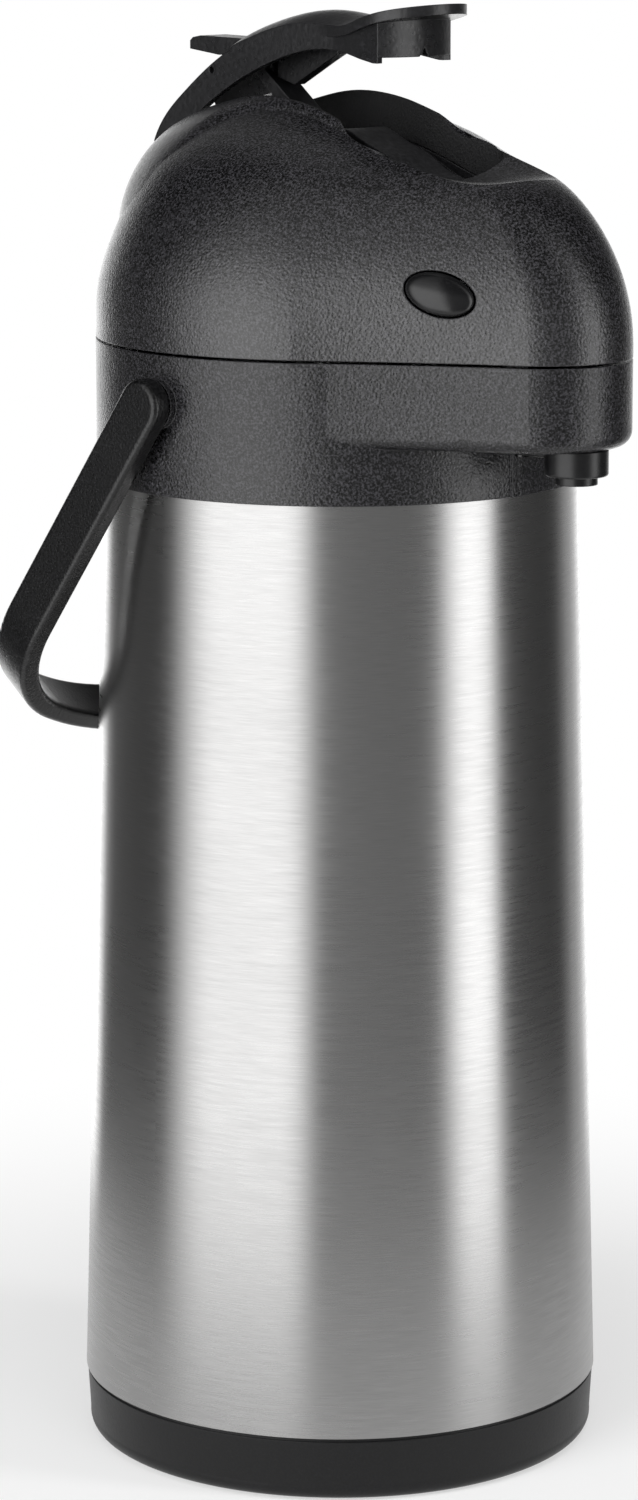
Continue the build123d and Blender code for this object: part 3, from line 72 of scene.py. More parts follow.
# Lever slot: where its front lip is, how wide it is and how far it flares towards the front
SLOT_LIP = -0.0468
SLOT_HALF_WIDTH = 0.0198
SLOT_FLARE = 0.0029
# Slot walls: colour and roughness. The near-black colour is partly the smooth black plastic and partly
# painted shade of the recess
SLOT_WALL_BLACK_AND_SHADE = (0.006, 0.006, 0.0065)
SLOT_WALL_ROUGHNESS = 0.7

# Copies of soft nodes: vertices closer than this are one, and folds sharper than this stay sharp
MERGE_DISTANCE = 0.000001
SHARP_FOLD = 30.0

# Brushed steel: broad lines under the fine ones, along a metre of height and round the body
BROAD_LINES = 900.0
BROAD_LENGTH = 4.0

# Studio: size of the floor, the even light, and the lamps by turn from the camera's side in
# degrees, distance, height, size and power
FLOOR_REACH = 6.0
EVEN_LIGHT = 0.12
AIM_HEIGHT = 0.24
SOFTBOXES = [
    ("Key softbox", -40, 1.6, 0.8, (1.0, 1.4), 24),
    ("Rim softbox", 70, 1.5, 0.8, (0.3, 1.4), 12),
    ("Top softbox", 10, 0.7, 1.7, (0.9, 0.9), 10),
]

# Floor, by metres from the pot: where its shadow fades out, and where the table in the reflections ends
SHADOW_FADE = [(0.09, 0.55), (0.4, 1.0)]
TABLE_END = [(0.26, 0.0), (0.42, 1.0)]
TABLE_GLOW = 0.68

# Softboxes as the steel sees them: turn from the camera's side in degrees, and brightness
STUDIO_BANDS = [
    (-180, 2.2),
    (-156, 2.2),
    (-140, 0.14),
    (-92, 0.08),
    (-62, 2.1),
    (-24, 2.15),
    (-8, 0.28),
    (44, 0.22),
    (62, 2.4),
    (72, 2.4),
    (83, 0.1),
    (124, 0.07),
    (142, 0.5),
    (180, 2.2),
]
STUDIO_PEAK = 2.6
# Brightness of the studio from straight below, at 0, to straight above, at 1, in front and behind
STUDIO_HEIGHTS = [(0.0, 0.85), (0.4, 1.0), (0.64, 1.0), (0.76, 0.42), (0.97, 0.14)]
REAR_HEIGHTS = [(0.0, 0.85), (0.5, 1.0), (0.58, 0.4), (0.68, 0.06)]


def new_material(name):
    """A fresh node material, with its tree and its Principled shader."""
    material = bpy.data.materials.new(name)
    material.use_nodes = True
    tree = material.node_tree
    shader = tree.nodes["Principled BSDF"]
    return material, tree, shader


def ramp(tree, source, stops, smooth=False):
    """A colour ramp over grey stops, fed from a value."""
    node = tree.nodes.new("ShaderNodeValToRGB")
    if smooth:
        node.color_ramp.interpolation = "EASE"
    elements = node.color_ramp.elements
    while len(elements) < len(stops):
        elements.new(0.5)
    for element, (place, grey) in zip(elements, stops):
        element.position = place
        element.color = (grey, grey, grey, 1.0)
    tree.links.new(source, node.inputs["Fac"])
    return node.outputs["Color"]


def maths(tree, operation, first, second=0.0, clamp=False):
    """One maths step on sockets or plain numbers."""
    node = tree.nodes.new("ShaderNodeMath")
    node.operation = operation
    node.use_clamp = clamp
    for socket, value in zip(node.inputs, (first, second)):
        if isinstance(value, (int, float)):
            socket.default_value = value
        else:
            tree.links.new(value, socket)
    return node.outputs["Value"]


def group_tree(name, inputs, outputs):
    """An empty shader group with named value inputs and outputs."""
    tree = bpy.data.node_groups.new(name, "ShaderNodeTree")
    for label, default in inputs:
        socket = tree.interface.new_socket(label, in_out="INPUT", socket_type="NodeSocketFloat")
        socket.default_value = default
    for label in outputs:
        tree.interface.new_socket(label, in_out="OUTPUT", socket_type="NodeSocketFloat")
    return tree, tree.nodes.new("NodeGroupInput"), tree.nodes.new("NodeGroupOutput")


def place_group(tree, group, **values):
    """A group placed in a material with its own values."""
    node = tree.nodes.new("ShaderNodeGroup")
    node.node_tree = group
    for label, value in values.items():
        node.inputs[label].default_value = value
    return node


def noise(tree, vector, scale, detail=2.0, roughness=0.5):
    """Noise on a coordinate, as a value."""
    node = tree.nodes.new("ShaderNodeTexNoise")
    if isinstance(scale, (int, float)):
        node.inputs["Scale"].default_value = scale
    else:
        tree.links.new(scale, node.inputs["Scale"])
    node.inputs["Detail"].default_value = detail
    node.inputs["Roughness"].default_value = roughness
    tree.links.new(vector, node.inputs["Vector"])
    return node.outputs["Fac"]


def moulded_grain_group():
    """Spark-eroded texture of moulded plastic: a height, a fine speckle and broader pits."""
    tree, start, end = group_tree("Moulded grain", [("Grains", 1200.0)], ["Height", "Speckle", "Pits"])
    place = tree.nodes.new("ShaderNodeTexCoord").outputs["Object"]
    fine = noise(tree, place, start.outputs["Grains"], 2.0, 0.6)
    cells = tree.nodes.new("ShaderNodeTexVoronoi")
    cells.feature = "SMOOTH_F1"
    tree.links.new(place, cells.inputs["Vector"])
    tree.links.new(maths(tree, "MULTIPLY", start.outputs["Grains"], 0.8), cells.inputs["Scale"])
    bumps = maths(tree, "MULTIPLY", cells.outputs["Distance"], 0.9)
    height = maths(tree, "ADD", maths(tree, "MULTIPLY", fine, 0.7), bumps)
    tree.links.new(height, end.inputs["Height"])
    tree.links.new(ramp(tree, fine, [(0.44, 0.0), (0.66, 1.0)]), end.inputs["Speckle"])
    tree.links.new(ramp(tree, cells.outputs["Distance"], [(0.2, 0.0), (0.75, 1.0)]), end.inputs["Pits"])
    return tree


def brushed_group():
    """Fine scratches that run round the pot's axis: a height and a streak mask."""
    tree, start, end = group_tree(
        "Brushed round", [("Lines", 5200.0), ("Length", 9.0)], ["Height", "Streak", "Drift"]
    )
    place = tree.nodes.new("ShaderNodeTexCoord").outputs["Object"]
    split = tree.nodes.new("ShaderNodeSeparateXYZ")
    tree.links.new(place, split.inputs["Vector"])
    turn = maths(tree, "ARCTAN2", split.outputs["Y"], split.outputs["X"])
    along = maths(tree, "MULTIPLY", turn, start.outputs["Length"])
    across = maths(tree, "MULTIPLY", split.outputs["Z"], start.outputs["Lines"])
    joined = tree.nodes.new("ShaderNodeCombineXYZ")
    tree.links.new(along, joined.inputs["X"])
    tree.links.new(across, joined.inputs["Y"])
    fine = noise(tree, joined.outputs["Vector"], 1.0, 3.0, 0.6)
    coarse_across = maths(tree, "MULTIPLY", split.outputs["Z"], BROAD_LINES)
    coarse = tree.nodes.new("ShaderNodeCombineXYZ")
    tree.links.new(maths(tree, "MULTIPLY", turn, BROAD_LENGTH), coarse.inputs["X"])
    tree.links.new(coarse_across, coarse.inputs["Y"])
    broad = noise(tree, coarse.outputs["Vector"], 1.0, 2.0, 0.5)
    height = maths(tree, "ADD", maths(tree, "MULTIPLY", fine, 0.7), maths(tree, "MULTIPLY", broad, 0.3))
    tree.links.new(height, end.inputs["Height"])
    tree.links.new(ramp(tree, fine, [(0.35, 0.0), (0.68, 1.0)]), end.inputs["Streak"])
    tree.links.new(ramp(tree, broad, [(0.3, 0.0), (0.7, 1.0)]), end.inputs["Drift"])
    return tree


def handling_group():
    """Slow patches left by wiping and handling, and short fine scratches in two directions."""
    tree, start, end = group_tree("Handling", [("Patches", 22.0)], ["Patch", "Scratch"])
    place = tree.nodes.new("ShaderNodeTexCoord").outputs["Object"]
    patch = noise(tree, place, start.outputs["Patches"], 4.0, 0.6)
    tree.links.new(ramp(tree, patch, [(0.35, 0.0), (0.7, 1.0)], smooth=True), end.inputs["Patch"])
    lines = []
    for turn, stretch in ((0.5, (60.0, 1500.0, 900.0)), (-0.7, (1300.0, 70.0, 700.0))):
        mapping = tree.nodes.new("ShaderNodeMapping")
        mapping.inputs["Rotation"].default_value = (turn, turn * 0.6, turn)
        mapping.inputs["Scale"].default_value = stretch
        tree.links.new(place, mapping.inputs["Vector"])
        hair = noise(tree, mapping.outputs["Vector"], 1.0, 2.0, 0.5)
        lines.append(ramp(tree, hair, [(0.66, 0.0), (0.72, 1.0)]))
    tree.links.new(maths(tree, "MAXIMUM", *lines), end.inputs["Scratch"])
    return tree


def edge_group():
    """Normals rounded over moulded edges, and a mask of the worn edge itself."""
    tree = bpy.data.node_groups.new("Moulded edge", "ShaderNodeTree")
    radius = tree.interface.new_socket("Radius", in_out="INPUT", socket_type="NodeSocketFloat")
    radius.default_value = 0.0005
    tree.interface.new_socket("Normal", in_out="OUTPUT", socket_type="NodeSocketVector")
    tree.interface.new_socket("Edge", in_out="OUTPUT", socket_type="NodeSocketFloat")
    start, end = tree.nodes.new("NodeGroupInput"), tree.nodes.new("NodeGroupOutput")
    rounded = tree.nodes.new("ShaderNodeBevel")
    rounded.samples = 6
    tree.links.new(start.outputs["Radius"], rounded.inputs["Radius"])
    tree.links.new(rounded.outputs["Normal"], end.inputs["Normal"])
    flat = tree.nodes.new("ShaderNodeNewGeometry").outputs["Normal"]
    likeness = tree.nodes.new("ShaderNodeVectorMath")
    likeness.operation = "DOT_PRODUCT"
    tree.links.new(rounded.outputs["Normal"], likeness.inputs[0])
    tree.links.new(flat, likeness.inputs[1])
    tree.links.new(ramp(tree, likeness.outputs["Value"], [(0.75, 1.0), (0.98, 0.0)]), end.inputs["Edge"])
    return tree


def slot_group():
    """The smooth walls inside the lever slot, which widens towards its front end."""
    tree, start, end = group_tree("Slot walls", [("Half width", SLOT_HALF_WIDTH)], ["Inside"])
    place = tree.nodes.new("ShaderNodeTexCoord").outputs["Object"]
    split = tree.nodes.new("ShaderNodeSeparateXYZ")
    tree.links.new(place, split.inputs["Vector"])
    forward = maths(tree, "MULTIPLY", split.outputs["Y"], -10.0)
    flare = ramp(tree, forward, [(0.13, 0.0), (0.41, 1.0)], smooth=True)
    limit = maths(tree, "ADD", start.outputs["Half width"], maths(tree, "MULTIPLY", flare, SLOT_FLARE))
    across = maths(tree, "SUBTRACT", maths(tree, "ABSOLUTE", split.outputs["X"]), limit)
    behind_lip = maths(tree, "GREATER_THAN", split.outputs["Y"], SLOT_LIP)
    narrow = maths(tree, "LESS_THAN", across, 0.0)
    tree.links.new(maths(tree, "MULTIPLY", narrow, behind_lip), end.inputs["Inside"])
    return tree


def mix_colour(tree, factor, first, second):
    """A colour mix of two colours by a factor socket."""
    node = tree.nodes.new("ShaderNodeMix")
    node.data_type = "RGBA"
    colour_a, colour_b = [s for s in node.inputs if s.type == "RGBA"]
    for socket, value in ((colour_a, first), (colour_b, second)):
        if isinstance(value, tuple):
            socket.default_value = (*value, 1.0)
        else:
            tree.links.new(value, socket)
    tree.links.new(factor, node.inputs["Factor"])
    return [s for s in node.outputs if s.type == "RGBA"][0]


def bump(tree, shader, height, distance, normal=None):
    """A bump from a height socket into the shader's normal, over an optional base normal."""
    node = tree.nodes.new("ShaderNodeBump")
    node.inputs["Distance"].default_value = distance
    tree.links.new(height, node.inputs["Height"])
    if normal is not None:
        tree.links.new(normal, node.inputs["Normal"])
    tree.links.new(node.outputs["Normal"], shader.inputs["Normal"])


def spread(tree, value, low, high):
    """A 0 to 1 socket remapped to a range, as a socket."""
    return maths(tree, "ADD", maths(tree, "MULTIPLY", value, high - low), low)


def plastic(name, colour, groups, grains=1200.0, depth=0.00012, rough=(0.3, 0.48), shine=0.5, tone=0.3,
            edge=0.0005, wear=0.5, inside=False):
    """Moulded plastic: grain, rounded edges that wear paler, patches and scratches.

    With inside, the walls of the lever slot are smooth, and their colour is darker than the outside:
    partly their black plastic, partly painted shade of the recess.
    """
    material, tree, shader = new_material(name)
    grain = place_group(tree, groups["grain"], Grains=grains)
    handling = place_group(tree, groups["handling"], Patches=18.0)
    corner = place_group(tree, groups["edge"], Radius=edge)
    dark = tuple(c * (1 - tone) for c in colour)
    light = tuple(min(1.0, c * (1 + tone)) for c in colour)
    worn = tuple(min(1.0, c * (1 + wear) + 0.004 * wear) for c in colour)
    speckled = mix_colour(tree, grain.outputs["Speckle"], dark, light)
    scratched = mix_colour(tree, maths(tree, "MULTIPLY", handling.outputs["Scratch"], 0.5), speckled, worn)
    wear_and_slot_shade = mix_colour(tree, maths(tree, "MULTIPLY", corner.outputs["Edge"], 0.8), scratched, worn)
    if inside:
        slot = place_group(tree, groups["slot"]).outputs["Inside"]
        # Painted shade: the slot walls take a near-black colour that also stands for the shade inside the
        # recess
        wear_and_slot_shade = mix_colour(tree, slot, wear_and_slot_shade, SLOT_WALL_BLACK_AND_SHADE)
    tree.links.new(wear_and_slot_shade, shader.inputs["Base Color"])
    patches = maths(tree, "MULTIPLY", handling.outputs["Patch"], 0.6)
    mixed = maths(tree, "ADD", patches, maths(tree, "MULTIPLY", grain.outputs["Pits"], 0.4))
    roughness = spread(tree, mixed, *rough)
    if inside:
        roughness = maths(tree, "MAXIMUM", roughness, maths(tree, "MULTIPLY", slot, SLOT_WALL_ROUGHNESS))
    tree.links.new(roughness, shader.inputs["Roughness"])
    shader.inputs["Specular IOR Level"].default_value = shine
    bump(tree, shader, grain.outputs["Height"], depth, corner.outputs["Normal"])
    return material


def brushed_steel(name, colour, groups, rough=(0.24, 0.36), lines=5200.0, depth=0.000012):
    """Steel brushed round the axis."""
    material, tree, shader = new_material(name)
    brushed = place_group(tree, groups["brushed"], Lines=lines)
    handling = place_group(tree, groups["handling"], Patches=9.0)
    dark = tuple(c * 0.86 for c in colour)
    tree.links.new(mix_colour(tree, brushed.outputs["Streak"], dark, colour), shader.inputs["Base Color"])
    drift = maths(tree, "MULTIPLY", brushed.outputs["Drift"], 0.5)
    mixed = maths(tree, "ADD", drift, maths(tree, "MULTIPLY", handling.outputs["Patch"], 0.5))
    tree.links.new(spread(tree, mixed, *rough), shader.inputs["Roughness"])
    shader.inputs["Metallic"].default_value = 1.0
    shader.inputs["Anisotropic"].default_value = 0.75
    shader.inputs["Anisotropic Rotation"].default_value = 0.25
    tangent = tree.nodes.new("ShaderNodeTangent")
    tangent.direction_type = "RADIAL"
    tangent.axis = "Z"
    tree.links.new(tangent.outputs["Tangent"], shader.inputs["Tangent"])
    bump(tree, shader, brushed.outputs["Height"], depth)
    return material


def plain_metal(name, colour, groups, rough=(0.18, 0.32)):
    """Drawn or turned steel of the small parts."""
    material, tree, shader = new_material(name)
    handling = place_group(tree, groups["handling"], Patches=160.0)
    dark = tuple(c * 0.8 for c in colour)
    tree.links.new(mix_colour(tree, handling.outputs["Patch"], dark, colour), shader.inputs["Base Color"])
    tree.links.new(spread(tree, handling.outputs["Scratch"], *rough), shader.inputs["Roughness"])
    shader.inputs["Metallic"].default_value = 1.0
    bump(tree, shader, handling.outputs["Scratch"], 0.00001)
    return material


class AirpotFinish(bpy.types.PropertyGroup):
    """Colours and softness that a user may change."""

    charcoal: FloatVectorProperty(
        name="Charcoal",
        description="Colour of the textured plastic",
        subtype="COLOR",
        default=(0.022, 0.0215, 0.024),
        min=0,
        max=1,
    )
    black: FloatVectorProperty(
        name="Black",
        description="Colour of the smooth plastic",
        subtype="COLOR",
        default=(0.006, 0.006, 0.0065),
        min=0,
        max=1,
    )
    soft_black: FloatVectorProperty(
        name="Soft black",
        description="Colour of the lever and of the tray under it",
        subtype="COLOR",
        default=(0.011, 0.011, 0.012),
        min=0,
        max=1,
    )
    steel: FloatVectorProperty(
        name="Steel",
        description="Colour of the brushed shell",
        subtype="COLOR",
        default=(0.5, 0.497, 0.494),
        min=0,
        max=1,
    )
    grains: FloatProperty(
        name="Grain",
        description="Texture grains along a metre of the lid's plastic",
        default=1600.0,
        min=100.0,
    )
    edge: FloatProperty(
        name="Edge radius",
        description="Rounding of moulded edges",
        unit="LENGTH",
        default=0.0006,
        min=0.0,
    )


SHARED = {}


def shared_groups():
    """The shader groups that several finishes use, built once."""
    if not SHARED:
        SHARED["grain"] = moulded_grain_group()
        SHARED["brushed"] = brushed_group()
        SHARED["handling"] = handling_group()
        SHARED["edge"] = edge_group()
        SHARED["slot"] = slot_group()
    return SHARED


def finish_nodes(names, material):
    """Gives CAD nodes their material."""
    for name in names:
        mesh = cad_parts[name].data
        mesh.materials.clear()
        mesh.materials.append(material)


class AIRPOT_OT_shell(bpy.types.Operator):
    """Brushed steel shell"""

    bl_idname = "airpot.shell"
    bl_label = "Steel shell"

    def execute(self, context):
        steel = tuple(context.scene.airpot_finish.steel)
        finish_nodes(["outer_shell"], brushed_steel("Brushed shell steel", steel, shared_groups()))
        return {"FINISHED"}


class AIRPOT_OT_base(bpy.types.Operator):
    """Base ring, its plug and the rubber feet"""

    bl_idname = "airpot.base"
    bl_label = "Base"

    def execute(self, context):
        look = context.scene.airpot_finish
        groups = shared_groups()
        satin = plastic(
            "Satin base ring", tuple(look.black), groups, grains=1500.0, depth=0.00002, rough=(0.36, 0.46),
            shine=0.4, tone=0.2, edge=look.edge,
        )
        rubber = plastic(
            "Foot rubber", (0.018, 0.018, 0.018), groups, depth=0.00002, rough=(0.7, 0.85), shine=0.25
        )
        finish_nodes(["base_cup", "base_plug"], satin)
        finish_nodes(["foot_pads"], rubber)
        return {"FINISHED"}


class AIRPOT_OT_flask(bpy.types.Operator):
    """Flask, its cushion and its neck sleeve"""

    bl_idname = "airpot.flask"
    bl_label = "Flask"

    def execute(self, context):
        groups = shared_groups()
        flask = brushed_steel("Flask steel", (0.6, 0.6, 0.6), groups, rough=(0.3, 0.42), lines=2600.0)
        rubber = plastic(
            "Seal rubber", (0.02, 0.02, 0.02), groups, depth=0.00002, rough=(0.65, 0.8), shine=0.25
        )
        finish_nodes(["flask_outer_wall", "flask_bottom", "flask_liner", "flask_neck"], flask)
        finish_nodes(["flask_cushion", "neck_sleeve"], rubber)
        return {"FINISHED"}


class AIRPOT_OT_collar(bpy.types.Operator):
    """Collar and beak"""

    bl_idname = "airpot.collar"
    bl_label = "Collar"

    def execute(self, context):
        look = context.scene.airpot_finish
        textured = plastic(
            "Collar charcoal", tuple(look.charcoal), shared_groups(), grains=look.grains,
            rough=(0.24, 0.36), shine=0.6, tone=0.95, edge=look.edge,
        )
        finish_nodes(["collar"], textured)
        return {"FINISHED"}


class AIRPOT_OT_spout(bpy.types.Operator):
    """Nozzle, spout tube, stem and their small screws"""

    bl_idname = "airpot.spout"
    bl_label = "Spout and stem"

    def execute(self, context):
        look = context.scene.airpot_finish
        groups = shared_groups()
        smooth = plastic(
            "Nozzle black", tuple(look.black), groups, grains=900.0, depth=0.00001, rough=(0.26, 0.36),
            tone=0.12, edge=look.edge,
        )
        grey = plastic(
            "Stem grey", STEM_GREY, groups, grains=1500.0, depth=0.00001, rough=(0.4, 0.55), tone=0.06
        )
        natural = plastic(
            "Natural tube plastic", (0.75, 0.75, 0.72), groups, depth=0.00001, rough=(0.3, 0.4), tone=0.04
        )
        silicone = plastic(
            "Stem silicone", SILICONE_WHITE, groups, depth=0.00001, rough=(0.5, 0.6), tone=0.05
        )
        finish_nodes(["nozzle_housing", "nozzle_tip"], smooth)
        finish_nodes(["stem_head", "stem_socket"], grey)
        finish_nodes(["spout_tube", "dip_tube"], natural)
        finish_nodes(["stem_gasket"], silicone)
        screws = plain_metal("Blackened screw steel", (0.05, 0.05, 0.05), groups)
        finish_nodes(["housing_screws"], screws)
        return {"FINISHED"}


class AIRPOT_OT_bail(bpy.types.Operator):
    """Carrying bail"""

    bl_idname = "airpot.bail"
    bl_label = "Bail"

    def execute(self, context):
        look = context.scene.airpot_finish
        textured = plastic(
            "Bail charcoal", tuple(look.black), shared_groups(), grains=look.grains, depth=0.00008,
            rough=(0.26, 0.4), shine=0.55, tone=0.8, edge=look.edge, wear=1.5,
        )
        finish_nodes(["bail_handle"], textured)
        return {"FINISHED"}


class AIRPOT_OT_lid(bpy.types.Operator):
    """Lid dome, its tray, its plate and gasket, and the pins and screws"""

    bl_idname = "airpot.lid"
    bl_label = "Lid"

    def execute(self, context):
        look = context.scene.airpot_finish
        groups = shared_groups()
        textured = plastic(
            "Lid charcoal", tuple(look.charcoal), groups, grains=look.grains,
            rough=(0.22, 0.36), shine=0.9, tone=0.95, edge=look.edge, wear=0.8, inside=True,
        )
        tray = plastic(
            "Tray black", tuple(look.soft_black), groups, grains=700.0, depth=0.00003, rough=(0.3, 0.5),
            shine=0.45, tone=0.35, edge=look.edge, wear=2.0,
        )
        grey = plastic(
            "Plate grey", STEM_GREY, groups, grains=1500.0, depth=0.00001, rough=(0.4, 0.55), tone=0.06
        )
        silicone = plastic(
            "Lid silicone", SILICONE_WHITE, groups, depth=0.00001, rough=(0.5, 0.6), tone=0.05
        )
        pins = plain_metal("Bright pin steel", (0.62, 0.62, 0.61), groups)
        finish_nodes(["lid_dome"], textured)
        finish_nodes(["lever_well"], tray)
        finish_nodes(["lid_base_plate"], grey)
        finish_nodes(["lid_gasket"], silicone)
        finish_nodes(["lid_screws", "hinge_pin", "lever_pin"], pins)
        return {"FINISHED"}


class AIRPOT_OT_buttons(bpy.types.Operator):
    """Release buttons"""

    bl_idname = "airpot.buttons"
    bl_label = "Buttons"

    def execute(self, context):
        look = context.scene.airpot_finish
        glossy = plastic(
            "Button black", tuple(look.black), shared_groups(), grains=700.0, depth=0.000006,
            rough=(0.16, 0.24), shine=0.55, tone=0.1, edge=look.edge,
        )
        finish_nodes(["release_button_left", "release_button_right"], glossy)
        return {"FINISHED"}


def squeezed_piece(name, node, material):
    """A copy of a soft CAD node, its doubled vertices merged and its sharp folds kept, hung on the lid in
    place of the hidden node.
    """
    mesh = bmesh.new()
    mesh.from_mesh(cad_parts[node].data)
    bmesh.ops.remove_doubles(mesh, verts=mesh.verts, dist=MERGE_DISTANCE)
    data = bpy.data.meshes.new(name)
    mesh.to_mesh(data)
    mesh.free()
    data.shade_smooth()
    data.set_sharp_from_angle(angle=radians(SHARP_FOLD))
    data.materials.append(material)
    piece = bpy.data.objects.new(name, data)
    bpy.context.scene.collection.objects.link(piece)
    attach(piece, "lid")
    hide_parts(node)
    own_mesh(piece)


class AIRPOT_OT_pump(bpy.types.Operator):
    """Bellows, valve, spring and plunger inside the lid"""

    bl_idname = "airpot.pump"
    bl_label = "Pump"

    def execute(self, context):
        groups = shared_groups()
        rubber = plastic(
            "Bellows rubber", (0.03, 0.03, 0.03), groups, depth=0.00002, rough=(0.55, 0.7), shine=0.3
        )
        grey = plastic(
            "Pump grey", (0.28, 0.28, 0.29), groups, grains=1500.0, depth=0.00001,
            rough=(0.4, 0.55), tone=0.06,
        )
        sprung = plain_metal("Spring steel", (0.55, 0.55, 0.55), groups, rough=(0.25, 0.4))
        finish_nodes(["valve_flap"], rubber)
        finish_nodes(["bellows_seat", "plunger"], grey)
        squeezed_piece("pump_bellows", "bellows", rubber)
        squeezed_piece("pump_spring", "return_spring", sprung)
        return {"FINISHED"}


class AIRPOT_OT_lever(bpy.types.Operator):
    """Press lever"""

    bl_idname = "airpot.lever"
    bl_label = "Lever"

    def execute(self, context):
        look = context.scene.airpot_finish
        textured = plastic(
            "Lever charcoal", tuple(look.soft_black), shared_groups(), grains=900.0, depth=0.00006,
            rough=(0.26, 0.42), shine=0.55, tone=0.3, edge=look.edge, wear=1.0,
        )
        finish_nodes(["pump_lever"], textured)
        return {"FINISHED"}


def backdrop_material():
    """Pale ground: white to the camera and to reflections, and it keeps the pot's shadow."""
    material, tree, shader = new_material("Pale ground")
    shader.inputs["Base Color"].default_value = (0.9, 0.9, 0.9, 1.0)
    shader.inputs["Roughness"].default_value = 0.9
    shader.inputs["Specular IOR Level"].default_value = 0.1
    paths = tree.nodes.new("ShaderNodeLightPath")
    place = tree.nodes.new("ShaderNodeTexCoord").outputs["Object"]
    reach = tree.nodes.new("ShaderNodeVectorMath")
    reach.operation = "LENGTH"
    tree.links.new(place, reach.inputs[0])
    # The shadow is kept close to the pot, and the ground runs out to plain white
    away = ramp(tree, reach.outputs["Value"], SHADOW_FADE, smooth=True)
    seen = maths(tree, "MAXIMUM", paths.outputs["Is Camera Ray"], paths.outputs["Is Transmission Ray"])
    glow = tree.nodes.new("ShaderNodeEmission")
    lit = tree.nodes.new("ShaderNodeMixShader")
    tree.links.new(maths(tree, "MULTIPLY", seen, away), lit.inputs["Fac"])
    tree.links.new(shader.outputs["BSDF"], lit.inputs[1])
    tree.links.new(glow.outputs["Emission"], lit.inputs[2])
    # Reflections see a white table that ends, and the studio past its edge
    table = tree.nodes.new("ShaderNodeEmission")
    table.inputs["Strength"].default_value = TABLE_GLOW
    past = tree.nodes.new("ShaderNodeBsdfTransparent")
    mirrored = tree.nodes.new("ShaderNodeMixShader")
    edge = ramp(tree, reach.outputs["Value"], TABLE_END)
    tree.links.new(edge, mirrored.inputs["Fac"])
    tree.links.new(table.outputs["Emission"], mirrored.inputs[1])
    tree.links.new(past.outputs["BSDF"], mirrored.inputs[2])
    both = tree.nodes.new("ShaderNodeMixShader")
    tree.links.new(paths.outputs["Is Glossy Ray"], both.inputs["Fac"])
    tree.links.new(lit.outputs["Shader"], both.inputs[1])
    tree.links.new(mirrored.outputs["Shader"], both.inputs[2])
    tree.links.new(both.outputs["Shader"], tree.nodes["Material Output"].inputs["Surface"])
    return material


def studio_world():
    """Soft even light, and the studio's softboxes in reflections."""
    world = bpy.data.worlds.new("Studio")
    world.use_nodes = True
    tree = world.node_tree
    plain = tree.nodes["Background"]
    plain.inputs["Color"].default_value = (1.0, 1.0, 1.0, 1.0)
    plain.inputs["Strength"].default_value = EVEN_LIGHT
    way = tree.nodes.new("ShaderNodeTexCoord").outputs["Generated"]
    turned = tree.nodes.new("ShaderNodeVectorRotate")
    turned.rotation_type = "Z_AXIS"
    turned.inputs["Angle"].default_value = radians(AXIS_TURN)
    tree.links.new(way, turned.inputs["Vector"])
    split = tree.nodes.new("ShaderNodeSeparateXYZ")
    tree.links.new(turned.outputs["Vector"], split.inputs["Vector"])
    # After the turn the camera stands at -Y, so the angle is measured from -Y towards +X
    angle = maths(tree, "ARCTAN2", split.outputs["X"], maths(tree, "MULTIPLY", split.outputs["Y"], -1.0))
    share = maths(tree, "ADD", maths(tree, "MULTIPLY", angle, 1 / radians(360)), 0.5)
    stops = [(turn / 360 + 0.5, level / STUDIO_PEAK) for turn, level in STUDIO_BANDS]
    bands = ramp(tree, share, stops, smooth=True)
    share_up = spread(tree, split.outputs["Z"], 0.5, 1.0)
    front = ramp(tree, share_up, STUDIO_HEIGHTS)
    rear = ramp(tree, share_up, REAR_HEIGHTS)
    behind = maths(tree, "MULTIPLY", split.outputs["Y"], 1.6, clamp=True)
    drop = maths(tree, "MULTIPLY", maths(tree, "SUBTRACT", rear, front), behind)
    height = maths(tree, "ADD", front, drop)
    glossy = tree.nodes.new("ShaderNodeBackground")
    tree.links.new(bands, glossy.inputs["Color"])
    tree.links.new(maths(tree, "MULTIPLY", height, STUDIO_PEAK), glossy.inputs["Strength"])
    white = tree.nodes.new("ShaderNodeBackground")
    white.inputs["Color"].default_value = (1.0, 1.0, 1.0, 1.0)
    white.inputs["Strength"].default_value = 1.0
    paths = tree.nodes.new("ShaderNodeLightPath")
    first = tree.nodes.new("ShaderNodeMixShader")
    tree.links.new(paths.outputs["Is Glossy Ray"], first.inputs["Fac"])
    tree.links.new(plain.outputs["Background"], first.inputs[1])
    tree.links.new(glossy.outputs["Background"], first.inputs[2])
    second = tree.nodes.new("ShaderNodeMixShader")
    seen = maths(tree, "MAXIMUM", paths.outputs["Is Camera Ray"], paths.outputs["Is Transmission Ray"])
    tree.links.new(seen, second.inputs["Fac"])
    tree.links.new(first.outputs["Shader"], second.inputs[1])
    tree.links.new(white.outputs["Background"], second.inputs[2])
    tree.links.new(second.outputs["Shader"], tree.nodes["World Output"].inputs["Surface"])
    bpy.context.scene.world = world


def softbox(name, turn, distance, height, size, power):
    """An area lamp at a turn from the camera's side, aimed at the pot."""
    lamp = bpy.data.lights.new(name, "AREA")
    lamp.shape = "RECTANGLE"
    lamp.size, lamp.size_y = size
    lamp.energy = power
    body = bpy.data.objects.new(name, lamp)
    body.visible_glossy = False
    bpy.context.scene.collection.objects.link(body)
    way = radians(turn - AXIS_TURN)
    body.location = (sin(way) * distance, -cos(way) * distance, height)
    body.rotation_mode = "QUATERNION"
    body.rotation_quaternion = (body.location - Vector((0, 0, AIM_HEIGHT))).to_track_quat("Z", "Y")


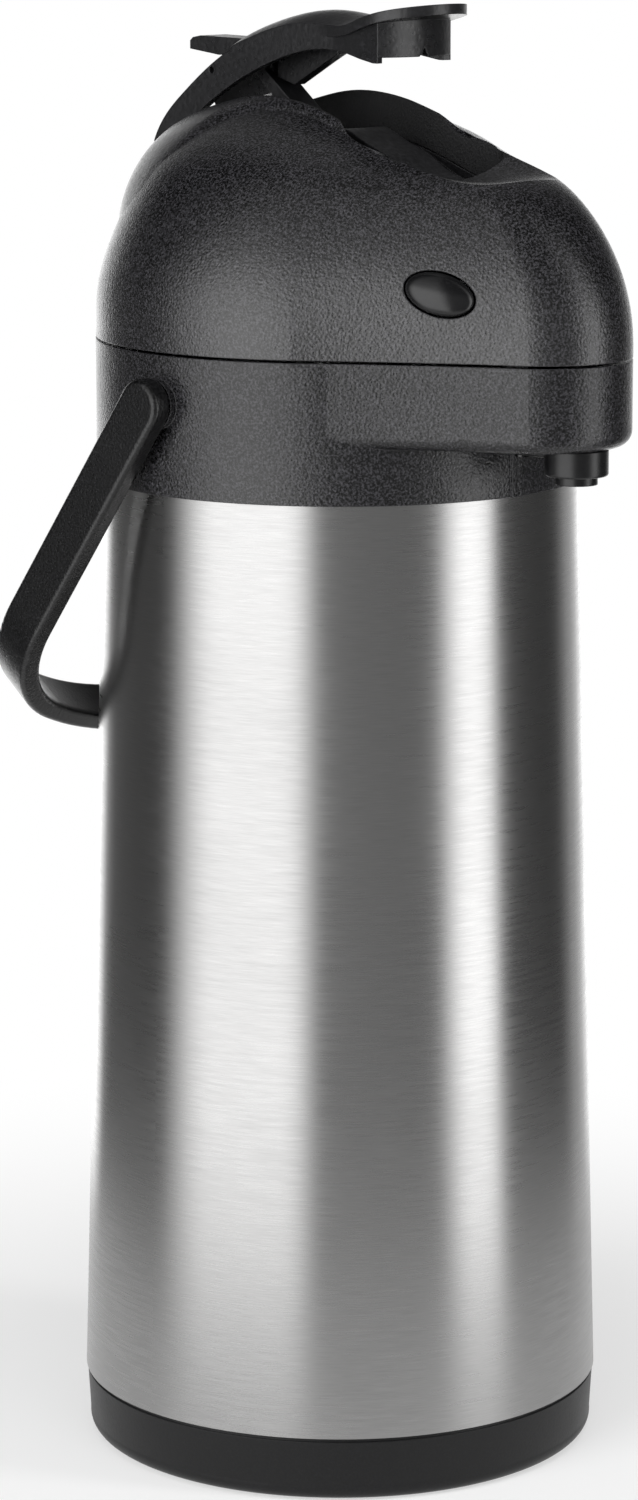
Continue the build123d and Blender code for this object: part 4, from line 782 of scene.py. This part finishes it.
class AIRPOT_OT_stage(bpy.types.Operator):
    """Floor, lamps and camera"""

    bl_idname = "airpot.stage"
    bl_label = "Stage"

    def execute(self, context):
        scene = context.scene
        scene.view_settings.view_transform = "Standard"
        mesh = bmesh.new()
        bmesh.ops.create_grid(mesh, x_segments=1, y_segments=1, size=FLOOR_REACH)
        data = bpy.data.meshes.new("Floor")
        mesh.to_mesh(data)
        mesh.free()
        floor = bpy.data.objects.new("Floor", data)
        scene.collection.objects.link(floor)
        data.materials.append(backdrop_material())
        studio_world()
        for lamp in SOFTBOXES:
            softbox(*lamp)
        lens = bpy.data.cameras.new("Camera")
        lens.lens = CAMERA_LENS
        lens.sensor_width = 36.0
        lens.shift_x = CAMERA_SHIFT
        lens.clip_start = 0.01
        lens.clip_end = 60.0
        camera = bpy.data.objects.new("Camera", lens)
        scene.collection.objects.link(camera)
        camera.location = CAMERA_PLACE
        level = Vector((-CAMERA_PLACE[0], -CAMERA_PLACE[1], 0)).normalized()
        look = level * cos(radians(CAMERA_PITCH)) + Vector((0, 0, -sin(radians(CAMERA_PITCH))))
        camera.rotation_mode = "QUATERNION"
        camera.rotation_quaternion = look.to_track_quat("-Z", "Y")
        scene.camera = camera
        return {"FINISHED"}


class AIRPOT_PT_panel(bpy.types.Panel):
    """Lists the steps that dress the pot"""

    bl_idname = "AIRPOT_PT_panel"
    bl_label = "Airpot"
    bl_space_type = "VIEW_3D"
    bl_region_type = "UI"
    bl_category = "Airpot"

    def draw(self, context):
        look = context.scene.airpot_finish
        for name in ("charcoal", "black", "soft_black", "steel", "grains", "edge"):
            self.layout.prop(look, name)
        for step in STEPS:
            self.layout.operator(step.bl_idname)


STEPS = (
    AIRPOT_OT_shell,
    AIRPOT_OT_base,
    AIRPOT_OT_flask,
    AIRPOT_OT_collar,
    AIRPOT_OT_spout,
    AIRPOT_OT_bail,
    AIRPOT_OT_lid,
    AIRPOT_OT_buttons,
    AIRPOT_OT_pump,
    AIRPOT_OT_lever,
    AIRPOT_OT_stage,
)
CLASSES = (AirpotFinish, *STEPS, AIRPOT_PT_panel)


def register():
    for item in CLASSES:
        bpy.utils.register_class(item)
    bpy.types.Scene.airpot_finish = PointerProperty(type=AirpotFinish)


def unregister():
    del bpy.types.Scene.airpot_finish
    for item in reversed(CLASSES):
        bpy.utils.unregister_class(item)


def main():
    """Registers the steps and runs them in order."""
    register()
    for step in STEPS:
        group, action = step.bl_idname.split(".")
        getattr(getattr(bpy.ops, group), action)()


if __name__ == "__main__":
    main()
